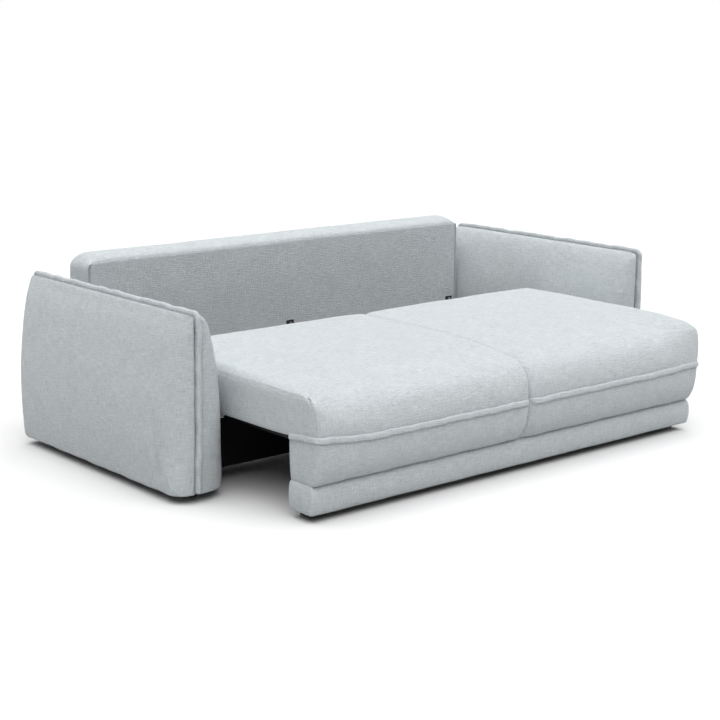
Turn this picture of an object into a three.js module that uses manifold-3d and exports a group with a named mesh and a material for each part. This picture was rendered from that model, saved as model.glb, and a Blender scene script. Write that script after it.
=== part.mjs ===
// A sleeper sofa, drawn out: two padded arms, a padded backrest and a two-cushion seat that rolls forward
// on floor wheels and side runners, and opens a slatted gap behind it for the loose back cushions.
// Millimetres. X runs along the sofa to the right seen from the front, Y to its rear, Z up from the floor.
import * as THREE from "three";
import { mergeVertices } from "three/addons/utils/BufferGeometryUtils.js";
import Module from "manifold-3d";

const wasm = await Module();
wasm.setup();

// Driving sizes
const overallWidth = 2500;
const armWidth = 247;
const armDepth = 1102;
const armHeight = 694;
const backDepth = 147;
const backHeight = 748;
const backInset = 2;
const seatDepth = 974;
const seatEdgeHeight = 448;
const seatUnderside = 283;
const seatCrown = 38;
const plinthHeight = 103;
const openGap = 483;
const closedGap = 33;
const floorGap = 30;

// Clearances and cutting
const touch = 0.3;
const armSlideGap = 8;
const overrun = 20;

// Places that follow from the driving sizes. The seat is drawn out to the front by its travel.
const weltProud = 8;
const pipingProud = 6;
const openDepth = weltProud + backInset + backDepth + openGap + seatDepth + pipingProud;
const armRearY = openDepth / 2 - weltProud;
const armFrontY = armRearY - armDepth;
const backRearY = armRearY - backInset;
const backFaceY = backRearY - backDepth;
const seatRearY = backFaceY - openGap;
const seatFrontY = seatRearY - seatDepth;
const armOuterX = overallWidth / 2;
const armInnerX = armOuterX - armWidth;
const seatHalfWidth = armInnerX - armSlideGap;
const travel = openGap - closedGap;

// Counts of flats on round and curved pieces
const rollerSides = 24;
const pinSides = 16;
const footSides = 24;
const armRingSteps = 24;
const cornerSteps = 3;
const sideSteps = 4;

// Finishes
const fabric = new THREE.MeshStandardMaterial({ color: 0xc3c9cc, roughness: 0.95, metalness: 0 });
const wood = new THREE.MeshStandardMaterial({ color: 0xc9a877, roughness: 0.7, metalness: 0 });
const darkSteel = new THREE.MeshStandardMaterial({ color: 0x3b3e41, roughness: 0.5, metalness: 0.8 });
const zinc = new THREE.MeshStandardMaterial({ color: 0xb8bbbd, roughness: 0.35, metalness: 0.9 });
const blackCloth = new THREE.MeshStandardMaterial({ color: 0x121212, roughness: 1, metalness: 0 });
const blackPlastic = new THREE.MeshStandardMaterial({ color: 0x17181a, roughness: 0.6, metalness: 0 });
const nylon = new THREE.MeshStandardMaterial({ color: 0xd9d7ce, roughness: 0.45, metalness: 0 });

const sofa = new THREE.Group();

// Solids from three.js geometry

// A closed solid from a geometry, with its shared corners merged and its flat slivers left out.
function solidOf(geometry) {
  geometry.deleteAttribute("normal");
  geometry.deleteAttribute("uv");
  const merged = mergeVertices(geometry);
  const corners = merged.index.array;
  const faces = [];
  for (let i = 0; i < corners.length; i += 3) {
    const [a, b, c] = corners.slice(i, i + 3);
    if (a !== b && b !== c && c !== a) faces.push(a, b, c);
  }
  const mesh = new wasm.Mesh({
    numProp: 3,
    vertProperties: merged.attributes.position.array,
    triVerts: new Uint32Array(faces),
  });
  return new wasm.Manifold(mesh);
}

// The geometry of a solid, mirrored to the other side of the sofa where that is asked.
function geometryOf(solid, mirrored = false) {
  const { vertProperties, triVerts } = solid.getMesh();
  const position = Float32Array.from(vertProperties);
  const index = Array.from(triVerts);
  if (mirrored) {
    for (let i = 0; i < position.length; i += 3) position[i] = -position[i];
    index.reverse();
  }
  const geometry = new THREE.BufferGeometry();
  geometry.setAttribute("position", new THREE.BufferAttribute(position, 3));
  geometry.setIndex(index);
  geometry.computeVertexNormals();
  return geometry;
}

function addPart(name, solid, material) {
  const mesh = new THREE.Mesh(geometryOf(solid), material);
  mesh.name = name;
  sofa.add(mesh);
}

// Adds a piece of the right-hand side and its mirror image on the left.
function addPair(name, solid, material) {
  addPart(`right_${name}`, solid, material);
  const mesh = new THREE.Mesh(geometryOf(solid, true), material);
  mesh.name = `left_${name}`;
  sofa.add(mesh);
}

// A box from its lowest and highest X, Y and Z.
function block([x0, x1], [y0, y1], [z0, z1]) {
  const geometry = new THREE.BoxGeometry(x1 - x0, y1 - y0, z1 - z0);
  geometry.translate((x0 + x1) / 2, (y0 + y1) / 2, (z0 + z1) / 2);
  return solidOf(geometry);
}

// The range of a size laid evenly about a middle.
function about(middle, size) {
  return [middle - size / 2, middle + size / 2];
}

function joined(solids) {
  return solids.reduce((whole, solid) => whole.add(solid));
}

function cut(solid, cutters) {
  return cutters.reduce((rest, cutter) => rest.subtract(cutter), solid);
}

// A round piece from its profile of [radius, place along the axis], with the axis along X, Y or Z.
function turned(profile, axis, [x, y, z], sides) {
  const geometry = new THREE.LatheGeometry(profile.map(([r, along]) => new THREE.Vector2(r, along)), sides);
  if (axis === "x") geometry.rotateZ(-Math.PI / 2);
  if (axis === "z") geometry.rotateX(Math.PI / 2);
  geometry.translate(x, y, z);
  return solidOf(geometry);
}

function rod(radius, [start, end], axis, middle, sides) {
  return turned([[0, start], [radius, start], [radius, end], [0, end]], axis, middle, sides);
}

function ringRoller(bore, radius, [start, end], middle) {
  const profile = [[bore, start], [radius, start], [radius, end], [bore, end], [bore, start]];
  return turned(profile, "x", middle, rollerSides);
}

// The angles of a quarter turn from its start to its end.
function quarterTurns(count) {
  return Array.from({ length: count }, (_, step) => (step * Math.PI) / (2 * (count - 1)));
}

// Joins rings of equal length into one closed skin, with a point at the middle of each end.
function loft(rings, firstTip, lastTip) {
  const count = rings[0].length;
  const points = [firstTip, ...rings.flat(), lastTip];
  const at = (ring, step) => 1 + ring * count + (step % count);
  const faces = [];
  for (let step = 0; step < count; step += 1) {
    faces.push(0, at(0, step + 1), at(0, step));
    for (let ring = 0; ring + 1 < rings.length; ring += 1) {
      faces.push(at(ring, step), at(ring, step + 1), at(ring + 1, step + 1));
      faces.push(at(ring, step), at(ring + 1, step + 1), at(ring + 1, step));
    }
    faces.push(at(rings.length - 1, step), at(rings.length - 1, step + 1), points.length - 1);
  }
  const geometry = new THREE.BufferGeometry();
  geometry.setAttribute("position", new THREE.BufferAttribute(new Float32Array(points.flat()), 3));
  geometry.setIndex(faces);
  return solidOf(geometry);
}

// Arms

const weltInset = 95;
const weltWidth = 20;
const weltSink = 5;
const weltX = armOuterX - weltInset;
const armEdgeRadius = 25;
const armFrontLean = 12;
const armFrontCrown = 20;
const armRearCrown = 6;
const armFoam = 46;
const armTopFoam = 74;
const armTopRailWidth = 74;
const armTopRailHeight = 120;
const armBoard = 18;
const armPost = 90;
const armWindowCount = 4;
const armWindowSill = 85;
const armWindowMargin = 24;

// Each row is the height as a share of the arm's, and the draw-in from the outer face as a share of the
// welt's inset.
const armOuterShares = [
  [0, 0.12],
  [0.07, 0.05],
  [0.25, 0],
  [0.51, 0.08],
  [0.77, 0.34],
  [0.92, 0.67],
  [0.985, 0.93],
];
// Each row is the height as a share of the arm's, and the draw-in from the inner face as a share of the
// way to the welt.
const armInnerShares = [
  [1, 0.85],
  [0.975, 0.65],
  [0.88, 0.43],
  [0.64, 0.12],
  [0.36, 0],
  [0, 0],
];
const armCrownShares = [0.88, 0.62, 0.3];
const crownPower = 2.5;
const armEdgeTurns = 4;

// The arm's outline seen from the front, counter-clockwise from its outer foot. The curve settles onto the
// flat inner face, and is held to it.
function armOutline() {
  const height = armHeight - floorGap;
  const outer = armOuterShares.map(([up, inward]) => [
    armOuterX - inward * weltInset,
    floorGap + up * height,
  ]);
  const inner = armInnerShares.map(([up, outward]) => [
    armInnerX + outward * (weltX - armInnerX),
    floorGap + up * height,
  ]);
  const curve = new THREE.SplineCurve([...outer, ...inner].map(([x, z]) => new THREE.Vector2(x, z)));
  return curve.getSpacedPoints(armRingSteps).map((point) => [Math.max(point.x, armInnerX), point.y]);
}

// The padded arm as one form, its outline rounded over at front and rear into crowned end faces.
// The swell grows it all round except at its foot.
function armForm(swell) {
  const outline = armOutline();
  const middleX = armOuterX - armWidth / 2;
  const middleZ = (floorGap + armHeight) / 2;
  const height = armHeight - floorGap;
  const ring = (inset, yOf) =>
    outline.map(([x, z]) => {
      const wide = middleX + (x - middleX) * (1 - (2 * inset) / armWidth);
      const high = floorGap + (z - floorGap) * (1 - inset / height);
      return [wide, yOf((high - floorGap) / height), high];
    });
  const shrunk = (base, share, y) =>
    base.map(([x, , z]) => {
      const high = middleZ + (z - middleZ) * share;
      return [middleX + (x - middleX) * share, y((high - floorGap) / height), high];
    });
  const frontAt = (up) => armFrontY - armFrontLean * up - swell;
  const rearPlane = armRearY - armRearCrown + swell;
  const rounding = quarterTurns(armEdgeTurns).map((turn) => ({
    inset: armEdgeRadius * (1 - Math.cos(turn)) - swell,
    back: armEdgeRadius * (1 - Math.sin(turn)),
  }));
  const rearRings = rounding.map(({ inset, back }) => ring(inset, () => rearPlane - back));
  const frontRings = rounding.map(({ inset, back }) => ring(inset, (up) => frontAt(up) + back));
  const swollen = (share, crown) => crown * (1 - share ** crownPower);
  const rearCrown = armCrownShares.map((share) =>
    shrunk(rearRings[armEdgeTurns - 1], share, () => rearPlane + swollen(share, armRearCrown)),
  );
  const frontCrown = armCrownShares.map((share) =>
    shrunk(frontRings[armEdgeTurns - 1], share, (up) => frontAt(up) - swollen(share, armFrontCrown)),
  );
  const rings = [...rearCrown.reverse(), ...rearRings.reverse(), ...frontRings, ...frontCrown];
  const rearTip = [middleX, rearPlane + armRearCrown, middleZ];
  const frontTip = [middleX, frontAt(1 / 2) - armFrontCrown, middleZ];
  return loft(rings, rearTip, frontTip);
}

const armFrameX = [armInnerX + armFoam, armOuterX - armFoam];
const armFrameY = [armFrontY + armFoam, armRearY - armFoam];
const armFrameTop = armHeight - armTopFoam - armTopRailHeight;

// The space that the arm's timber frame takes, grown by a clearance on all sides.
function armFrameEnvelope(gap) {
  const low = floorGap - gap;
  const grownY = [armFrameY[0] - gap, armFrameY[1] + gap];
  const body = block([armFrameX[0] - gap, armFrameX[1] + gap], grownY, [low, armFrameTop + gap]);
  const railZ = [low, armFrameTop + armTopRailHeight + gap];
  const rail = block(about(weltX, armTopRailWidth + 2 * gap), grownY, railZ);
  return body.add(rail);
}

// A hollow box of boards, open below between its corner posts, with windows in both long sides.
function armFrame() {
  const hollowY = [armFrameY[0] + armPost, armFrameY[1] - armPost];
  const hollowX = [armFrameX[0] + armBoard, armFrameX[1] - armBoard];
  const hollow = block(hollowX, hollowY, [floorGap - overrun, armFrameTop - armBoard]);
  const pitch = (hollowY[1] - hollowY[0]) / armWindowCount;
  const windowZ = [floorGap + armWindowSill, armFrameTop - armWindowSill];
  const windows = [];
  for (let i = 0; i < armWindowCount; i += 1) {
    const middle = hollowY[0] + (i + 1 / 2) * pitch;
    const windowX = [armFrameX[0] - overrun, armFrameX[1] + overrun];
    windows.push(block(windowX, about(middle, pitch - 2 * armWindowMargin), windowZ));
  }
  return cut(armFrameEnvelope(0), [hollow, ...windows]);
}

function addArms() {
  const form = armForm(0);
  const weltSlab = (gap) => {
    const depth = [armFrontY - armDepth, armRearY + armDepth];
    return block(about(weltX, weltWidth + 2 * gap), depth, [floorGap, armHeight + armDepth]);
  };
  const groove = weltSlab(touch).subtract(armForm(-weltSink - touch));
  const padded = cut(form, [groove, armFrameEnvelope(touch)]);
  const halfSpace = (range) => block(range, [-openDepth, openDepth], [0, armHeight + armDepth]);
  const outerHalf = halfSpace([weltX + touch / 2, armOuterX + overrun]);
  const innerHalf = halfSpace([0, weltX - touch / 2]);
  const welt = cut(weltSlab(0).intersect(armForm(weltProud)), [armForm(-weltSink)]);
  addPair("arm_frame", armFrame(), wood);
  addPair("arm_outer_pad", padded.intersect(outerHalf), fabric);
  addPair("arm_inner_pad", padded.intersect(innerHalf), fabric);
  addPair("arm_welt", welt, fabric);
}

// Feet

const footRadius = 30;
const footHeight = floorGap - touch;

function addFeet() {
  const armFootX = (armFrameX[0] + armFrameX[1]) / 2;
  const frontY = armFrameY[0] + armPost / 2;
  const backY = armFrameY[1] - armPost / 2;
  const middleY = (backFrameY[0] + backFrameY[1]) / 2;
  const foot = (x, y) => rod(footRadius, [0, footHeight], "z", [x, y, 0], footSides);
  addPair("arm_front_foot", foot(armFootX, frontY), blackPlastic);
  addPair("arm_rear_foot", foot(armFootX, backY), blackPlastic);
  addPart("backrest_foot", foot(0, middleY), blackPlastic);
}

// Backrest

const backHalfWidth = armInnerX - touch;
const backFoam = 47;
const backPanel = 15;
const backTopFoam = 88;
const backEndFoam = 70;
const backCrown = 32;
const backRearCrown = 36;
const backEndRadius = 28;
const backStud = 40;
const backRail = 60;
const backWindowCount = 7;
const backFrameY = [backFaceY + backFoam, backRearY - backPanel];
const backFrameHalf = backHalfWidth - backEndFoam;
const backFrameTop = backHeight - backTopFoam;
const backTopEdge = backHeight - backCrown;
const backRearTopEdge = backHeight - backRearCrown;

// Each row is a place on the crowned top: its share of the depth from the front, and its share of the
// rise from the edges to the crest.
const backCrownShares = [
  [0.05, 0.42],
  [0.2, 0.8],
  [0.45, 1],
  [0.75, 0.85],
  [0.94, 0.42],
];
const backFaceSteps = 3;
const backEndTurns = 4;

// The backrest's outline seen from its right-hand end, counter-clockwise from its rear foot.
function backOutline() {
  const points = [];
  for (let i = 0; i <= backFaceSteps; i += 1) {
    const up = i / backFaceSteps;
    points.push([backRearY, floorGap + up * (backRearTopEdge - floorGap)]);
  }
  for (const [along, rise] of [...backCrownShares].reverse()) {
    const edge = backTopEdge + along * (backRearTopEdge - backTopEdge);
    points.push([backFaceY + along * backDepth, edge + rise * (backHeight - edge)]);
  }
  for (let i = backFaceSteps; i >= 0; i -= 1) {
    points.push([backFaceY, floorGap + (i / backFaceSteps) * (backTopEdge - floorGap)]);
  }
  return points;
}

// The backrest's padded form, its top corners rounded over at both ends.
function backForm() {
  const outline = backOutline();
  const middleY = (backFaceY + backRearY) / 2;
  const middleZ = (floorGap + backHeight) / 2;
  const ring = (x, inset) =>
    outline.map(([y, z]) => [x, y, z - (inset * (z - floorGap)) / (backHeight - floorGap)]);
  const right = quarterTurns(backEndTurns).map((turn) =>
    ring(backHalfWidth - backEndRadius * (1 - Math.sin(turn)), backEndRadius * (1 - Math.cos(turn))),
  );
  const left = right.map((points) => points.map(([x, y, z]) => [-x, y, z])).reverse();
  return loft([...left, ...right], [-backHalfWidth, middleY, middleZ], [backHalfWidth, middleY, middleZ]);
}

function addBackrest() {
  const frameX = [-backFrameHalf, backFrameHalf];
  const frameZ = [floorGap, backFrameTop];
  const pocketX = [-backFrameHalf - touch, backFrameHalf + touch];
  const pocket = block(pocketX, [backFrameY[0] - touch, backRearY + overrun], [0, backFrameTop + touch]);
  const boltHoles = bracketPlaces.map((x) =>
    rod(boltRadius + touch, [backFaceY - overrun, backRearY], "y", [x, 0, boltHeight], pinSides),
  );
  const pitch = (2 * backFrameHalf - backStud) / backWindowCount;
  const windows = [];
  for (let i = 0; i < backWindowCount; i += 1) {
    const windowX = [backStud + i * pitch - backFrameHalf, (i + 1) * pitch - backFrameHalf];
    const through = [backFrameY[0] - overrun, backFrameY[1] + overrun];
    windows.push(block(windowX, through, [floorGap + backRail, boltHeight - backRail / 2]));
    windows.push(block(windowX, through, [boltHeight + backRail / 2, backFrameTop - backRail]));
  }
  addPart("backrest_frame", cut(block(frameX, backFrameY, frameZ), [...windows, ...boltHoles]), wood);
  addPart("backrest_pad", cut(backForm(), [pocket, ...boltHoles]), fabric);
  addPart("backrest_rear_panel", block(frameX, [backFrameY[1] + touch, backRearY], frameZ), fabric);
}

// Brackets on the backrest's front, which carry the slatted deck's rear rail, and the deck's heights

const deckDrop = 44;
const deckRailHeight = 53;
const deckTop = seatUnderside - deckDrop;
const bracketWidth = 37;
const bracketHeight = 186;
const bracketFoot = 44;
const bracketSheet = 4;
const bracketInset = 53;
const boltRadius = 4;
const boltHeadRadius = 8;
const boltHead = 5;
const boltLength = 90;
const boltDrop = 13;
const bracketFootZ = deckTop - deckRailHeight;
const bracketTop = bracketFootZ + bracketHeight;
const boltHeight = bracketTop - boltDrop;
const bracketPlaces = [bracketInset - armInnerX, 0, armInnerX - bracketInset];
const bracketBackY = backFaceY - touch;
const bracketFaceY = bracketBackY - bracketSheet;

function addBrackets() {
  const names = ["left", "centre", "right"];
  bracketPlaces.forEach((x, i) => {
    const width = about(x, bracketWidth);
    const upright = block(width, [bracketFaceY, bracketBackY], [bracketFootZ, bracketTop]);
    const footY = [bracketFaceY - bracketFoot, bracketBackY];
    const foot = block(width, footY, [bracketFootZ, bracketFootZ + bracketSheet]);
    const holeY = [bracketFaceY - overrun, backRearY];
    const hole = rod(boltRadius + touch, holeY, "y", [x, 0, boltHeight], pinSides);
    addPart(`${names[i]}_bracket`, cut(upright.add(foot), [hole]), darkSteel);
    const headY = bracketFaceY - touch;
    const bolt = [[0, headY - boltHead], [boltHeadRadius, headY - boltHead], [boltHeadRadius, headY]];
    const shank = [[boltRadius, headY], [boltRadius, headY + boltLength], [0, headY + boltLength]];
    const turnedBolt = turned([...bolt, ...shank], "y", [x, 0, boltHeight], pinSides);
    addPart(`${names[i]}_bracket_bolt`, turnedBolt, zinc);
  });
}

// Base between the arms: side boards, cross rail, joist and the slatted deck behind the seat

const sideBoardInset = 40;
const sideBoardSpanX = [seatHalfWidth - sideBoardInset, armInnerX - touch];
const sideBoardRise = 30;
const sideBoardDrop = 4;
const sideBoardSetback = 140;
const sideBoardRearGap = 53;
const sideBoardY = [armFrontY + sideBoardSetback, backFaceY - sideBoardRearGap];
const sideBoardZ = [floorGap + sideBoardRise, seatUnderside - sideBoardDrop];
const deckHalf = sideBoardSpanX[0] - touch;
const trackPinBite = 30;
const trackPinEnd = sideBoardSpanX[0] + trackPinBite;
const crossRailDepth = 25;
const crossRailDrop = 43;
const crossRailY = [sideBoardY[0], sideBoardY[0] + crossRailDepth];
const joistWidth = 45;
const joistHeight = 86;
const deckRailDepth = 30;
const slatDepth = 465;
const slatEndGap = 55;
const slatHalf = sideBoardSpanX[0] - slatEndGap;
const slatThickness = 12;
const slatCount = 14;
const slatGap = 34;
const tapeWidth = 24;
const tapeThickness = 2;
const tapeInset = 70;

function addBase() {
  const board = block(sideBoardSpanX, sideBoardY, sideBoardZ);
  const pinHole = rod(rollerBore, [0, trackPinEnd + touch], "x", [0, trackRollerY, trackRollerZ], pinSides);
  addPair("side_board", board.subtract(pinHole), wood);
  const railX = [-deckHalf, deckHalf];
  const railZ = [sideBoardZ[0], seatUnderside - crossRailDrop];
  addPart("front_cross_rail", block(railX, crossRailY, railZ), blackCloth);
  const joistTop = bracketFootZ - touch;
  const joistY = [crossRailY[1] + touch, bracketFaceY - touch];
  addPart("centre_joist", block(about(0, joistWidth), joistY, [joistTop - joistHeight, joistTop]), wood);
}

function addDeck() {
  const rearRailY = [bracketFaceY - touch - deckRailDepth, bracketFaceY - touch];
  const frontRailY = [rearRailY[1] - slatDepth, rearRailY[1] - slatDepth + deckRailDepth];
  const railTop = deckTop - touch;
  const outerBracket = armInnerX - bracketInset + bracketWidth / 2;
  const rearRailZ = [bracketFootZ + bracketSheet + touch, railTop];
  addPart("deck_front_rail", block([-deckHalf, deckHalf], frontRailY, [bracketFootZ, railTop]), wood);
  addPart("deck_rear_rail", block([-outerBracket, outerBracket], rearRailY, rearRailZ), wood);
  const pitch = (2 * slatHalf + slatGap) / slatCount;
  const slatY = [frontRailY[0], rearRailY[1]];
  const slatTop = deckTop + slatThickness;
  const pieces = [];
  for (let i = 0; i < slatCount; i += 1) {
    const start = i * pitch - slatHalf;
    pieces.push(block([start, start + pitch - slatGap], slatY, [deckTop, slatTop]));
  }
  for (const middle of [slatY[0] + tapeInset, slatY[1] - tapeInset]) {
    const tapeZ = [slatTop - tapeThickness, slatTop + tapeThickness];
    pieces.push(block([-slatHalf, slatHalf], about(middle, tapeWidth), tapeZ));
  }
  addPart("deck_slats", joined(pieces), wood);
}

// Seat: deck frame, webbing, dust cover and front box

const skirt = 10;
const rearSkirt = 15;
const frontFoam = 64;
const deckBoardHeight = 50;
const deckBoardWidth = 45;
const deckJoistCount = 7;
const deckJoistWidth = 40;
const webbingThickness = 2;
const webbingLap = 0.5;
const webbingWidth = 55;
const webbingInset = 10;
const webbingCrossCount = 5;
const webbingLongCount = 2;
const dustCoverThickness = 1.2;
const frontBoxDepth = 106;
const frontBoxBoard = 16;
const seatDeckHalf = seatHalfWidth - skirt;
const seatDeckY = [seatFrontY + frontFoam, seatRearY - rearSkirt];
const seatDeckZ = [seatUnderside, seatUnderside + deckBoardHeight];
const webbingFoot = seatDeckZ[1] + touch;
const webbingTop = webbingFoot + 2 * webbingThickness - webbingLap;
const frontBoxY = [seatDeckY[0], seatDeckY[0] + frontBoxDepth];
const frontBoxZ = [floorGap, seatUnderside - touch];

function addSeatDeck() {
  const windowY = [seatDeckY[0] + deckBoardWidth, seatDeckY[1] - deckBoardWidth];
  const innerHalf = seatDeckHalf - deckBoardWidth;
  const pitch = (2 * innerHalf + deckJoistWidth) / (deckJoistCount + 1);
  const windows = [];
  for (let i = 0; i <= deckJoistCount; i += 1) {
    const start = i * pitch - innerHalf;
    const through = [seatDeckZ[0] - overrun, seatDeckZ[1] + overrun];
    windows.push(block([start, start + pitch - deckJoistWidth], windowY, through));
  }
  const deck = block([-seatDeckHalf, seatDeckHalf], seatDeckY, seatDeckZ);
  addPart("seat_deck_frame", cut(deck, windows), wood);
  const spanX = [webbingInset - seatDeckHalf, seatDeckHalf - webbingInset];
  const spanY = [seatDeckY[0] + webbingInset, seatDeckY[1] - webbingInset];
  const straps = [];
  for (let i = 0; i < webbingCrossCount; i += 1) {
    const middle = spanY[0] + ((i + 1 / 2) / webbingCrossCount) * (spanY[1] - spanY[0]);
    straps.push(block(spanX, about(middle, webbingWidth), [webbingFoot, webbingFoot + webbingThickness]));
  }
  for (let i = 0; i < webbingLongCount; i += 1) {
    const middle = spanX[0] + ((i + 1 / 2) / webbingLongCount) * (spanX[1] - spanX[0]);
    straps.push(block(about(middle, webbingWidth), spanY, [webbingTop - webbingThickness, webbingTop]));
  }
  addPart("seat_webbing", joined(straps), blackCloth);
  const coverTop = seatUnderside - touch;
  const coverY = [frontBoxY[1] + touch, seatDeckY[1]];
  const coverZ = [coverTop - dustCoverThickness, coverTop];
  const coverHalf = runnerLegX[0] - pinHead - 2 * touch;
  addPart("seat_dust_cover", block([-coverHalf, coverHalf], coverY, coverZ), blackCloth);
}

function addFrontBox() {
  const box = block([-seatDeckHalf, seatDeckHalf], frontBoxY, frontBoxZ);
  const innerHalf = seatDeckHalf - frontBoxBoard;
  const innerY = [frontBoxY[0] + frontBoxBoard, frontBoxY[1] - frontBoxBoard];
  const innerZ = [frontBoxZ[0] + frontBoxBoard, frontBoxZ[1] + overrun];
  addPart("front_box", box.subtract(block([-innerHalf, innerHalf], innerY, innerZ)), wood);
}

// Seat padding

const cornerRadius = 70;
const middleCornerRadius = 24;
const rearCornerRadius = 36;
const frontRoll = 95;
const sideRoll = 9;
const sideDrawIn = 4;
const dropRoll = 52;
const pipingHeight = 23;
const pipingSideProud = 4;
const plinthFoam = 25;
const plinthRoll = 14;
const plinthCornerRadius = 26;
const cornerTightenShare = 0.6;
const dropBottom = floorGap + plinthHeight + touch;
const dropRadii = [middleCornerRadius, cornerRadius, skirt / 2, skirt / 2];
const straight = [0, 0, 0, 0];

// Each row is a height as a share of the cushion's side, the front's draw-back as a share of the front
// roll, and the sides' draw-in as a share of the side roll.
const cushionShares = [
  [0, 0.02, 0.3],
  [0.16, 0, 0.1],
  [0.4, 0.04, 0],
  [0.65, 0.18, 0.02],
  [0.83, 0.41, 0.12],
  [0.95, 0.67, 0.45],
  [1, 1, 1],
];
// Each row is a share of the way from the middle of the top to its edge, and the crown's rise there.
const crownRiseShares = [
  [0.94, 0.3],
  [0.82, 0.62],
  [0.62, 0.86],
  [0.32, 0.97],
];
// Each row is a height as a share of the drop below the cushion, and the draw-back as a share of the
// drop's roll.
const dropShares = [
  [0, 1],
  [0.18, 0.63],
  [0.38, 0.35],
  [0.58, 0.15],
  [0.79, 0.04],
  [1, 0.02],
];
const plinthShares = [
  [0, 1],
  [0.2, 0.35],
  [0.5, 0],
  [0.78, 0.3],
  [1, 0.85],
];

// A rectangle's outline with its own radius at each corner and its own draw-in along each side, counter-
// clockwise from the corner of lowest X and Y.
function roundedRectangle([x0, x1], [y0, y1], radii, drawIns) {
  const corners = [
    [x0, y0, 1, 1],
    [x1, y0, -1, 1],
    [x1, y1, -1, -1],
    [x0, y1, 1, -1],
  ];
  const inward = [
    [0, 1],
    [-1, 0],
    [0, -1],
    [1, 0],
  ];
  const arcs = corners.map(([x, y, towardX, towardY], i) => {
    const arc = [];
    for (let step = 0; step <= cornerSteps; step += 1) {
      const angle = Math.PI + ((i + step / cornerSteps) * Math.PI) / 2;
      const centre = [x + towardX * radii[i], y + towardY * radii[i]];
      arc.push([centre[0] + radii[i] * Math.cos(angle), centre[1] + radii[i] * Math.sin(angle)]);
    }
    return arc;
  });
  return arcs.flatMap((arc, i) => {
    const [fromX, fromY] = arc[cornerSteps];
    const [toX, toY] = arcs[(i + 1) % arcs.length][0];
    const side = [];
    for (let step = 1; step < sideSteps; step += 1) {
      const along = step / sideSteps;
      const pull = drawIns[i] * 4 * along * (1 - along);
      const x = fromX + along * (toX - fromX) + inward[i][0] * pull;
      side.push([x, fromY + along * (toY - fromY) + inward[i][1] * pull]);
    }
    return [...arc, ...side];
  });
}

// One seat cushion's form, from the seam between the cushions to the arm. The swell grows its outline.
function cushionForm(swell) {
  const bottom = seatUnderside + touch;
  const radii = [middleCornerRadius, cornerRadius, rearCornerRadius, middleCornerRadius];
  const rings = cushionShares.map(([up, front, side]) => {
    const inset = side * sideRoll - swell;
    const x = [touch + inset, seatHalfWidth - inset];
    const y = [seatFrontY + front * frontRoll - swell, seatRearY - inset];
    const height = bottom + up * (seatEdgeHeight - bottom);
    return roundedRectangle(x, y, radii, [0, sideDrawIn, sideDrawIn, 0]).map(([px, py]) => [px, py, height]);
  });
  const edge = rings[rings.length - 1];
  const middle = [seatHalfWidth / 2, (seatFrontY + frontRoll + seatRearY) / 2];
  const crown = crownRiseShares.map(([out, rise]) =>
    edge.map(([x, y]) => [
      middle[0] + (x - middle[0]) * out,
      middle[1] + (y - middle[1]) * out,
      seatEdgeHeight + rise * seatCrown,
    ]),
  );
  return loft([...rings, ...crown], [...middle, bottom], [...middle, seatEdgeHeight + seatCrown]);
}

// A padded front panel's form below the cushions, from an inner side to the arm, rounded back over its
// heights by a share of its roll. Its corners tighten as it draws back, so that they cover the timber.
function panelForm(x, frontY, z, shares, roll, radii, swell) {
  const backY = frontBoxY[1];
  const rings = shares.map(([up, back]) => {
    const y = [frontY + back * roll - swell, backY];
    const height = z[0] + up * (z[1] - z[0]);
    const tight = radii.map((radius) => radius * (1 - cornerTightenShare * back));
    const outline = roundedRectangle([x[0] - swell, x[1] + swell], y, tight, straight);
    return outline.map(([px, py]) => [px, py, height]);
  });
  const middle = [(x[0] + x[1]) / 2, (frontY + roll + backY) / 2];
  return loft(rings, [...middle, z[0]], [...middle, z[1]]);
}

function dropForm(swell) {
  const x = [touch, seatHalfWidth];
  return panelForm(x, seatFrontY, [dropBottom, seatUnderside], dropShares, dropRoll, dropRadii, swell);
}

// The timber that the padding wraps, grown by the touching gap.
function timberEnvelope() {
  const half = seatDeckHalf + touch;
  const deckY = [seatDeckY[0] - touch, seatDeckY[1] + touch];
  const deck = block([-half, half], deckY, [0, webbingTop + touch]);
  const boxY = [frontBoxY[0] - touch, frontBoxY[1] + overrun];
  return deck.add(block([-half, half], boxY, [0, seatUnderside + touch]));
}

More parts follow.
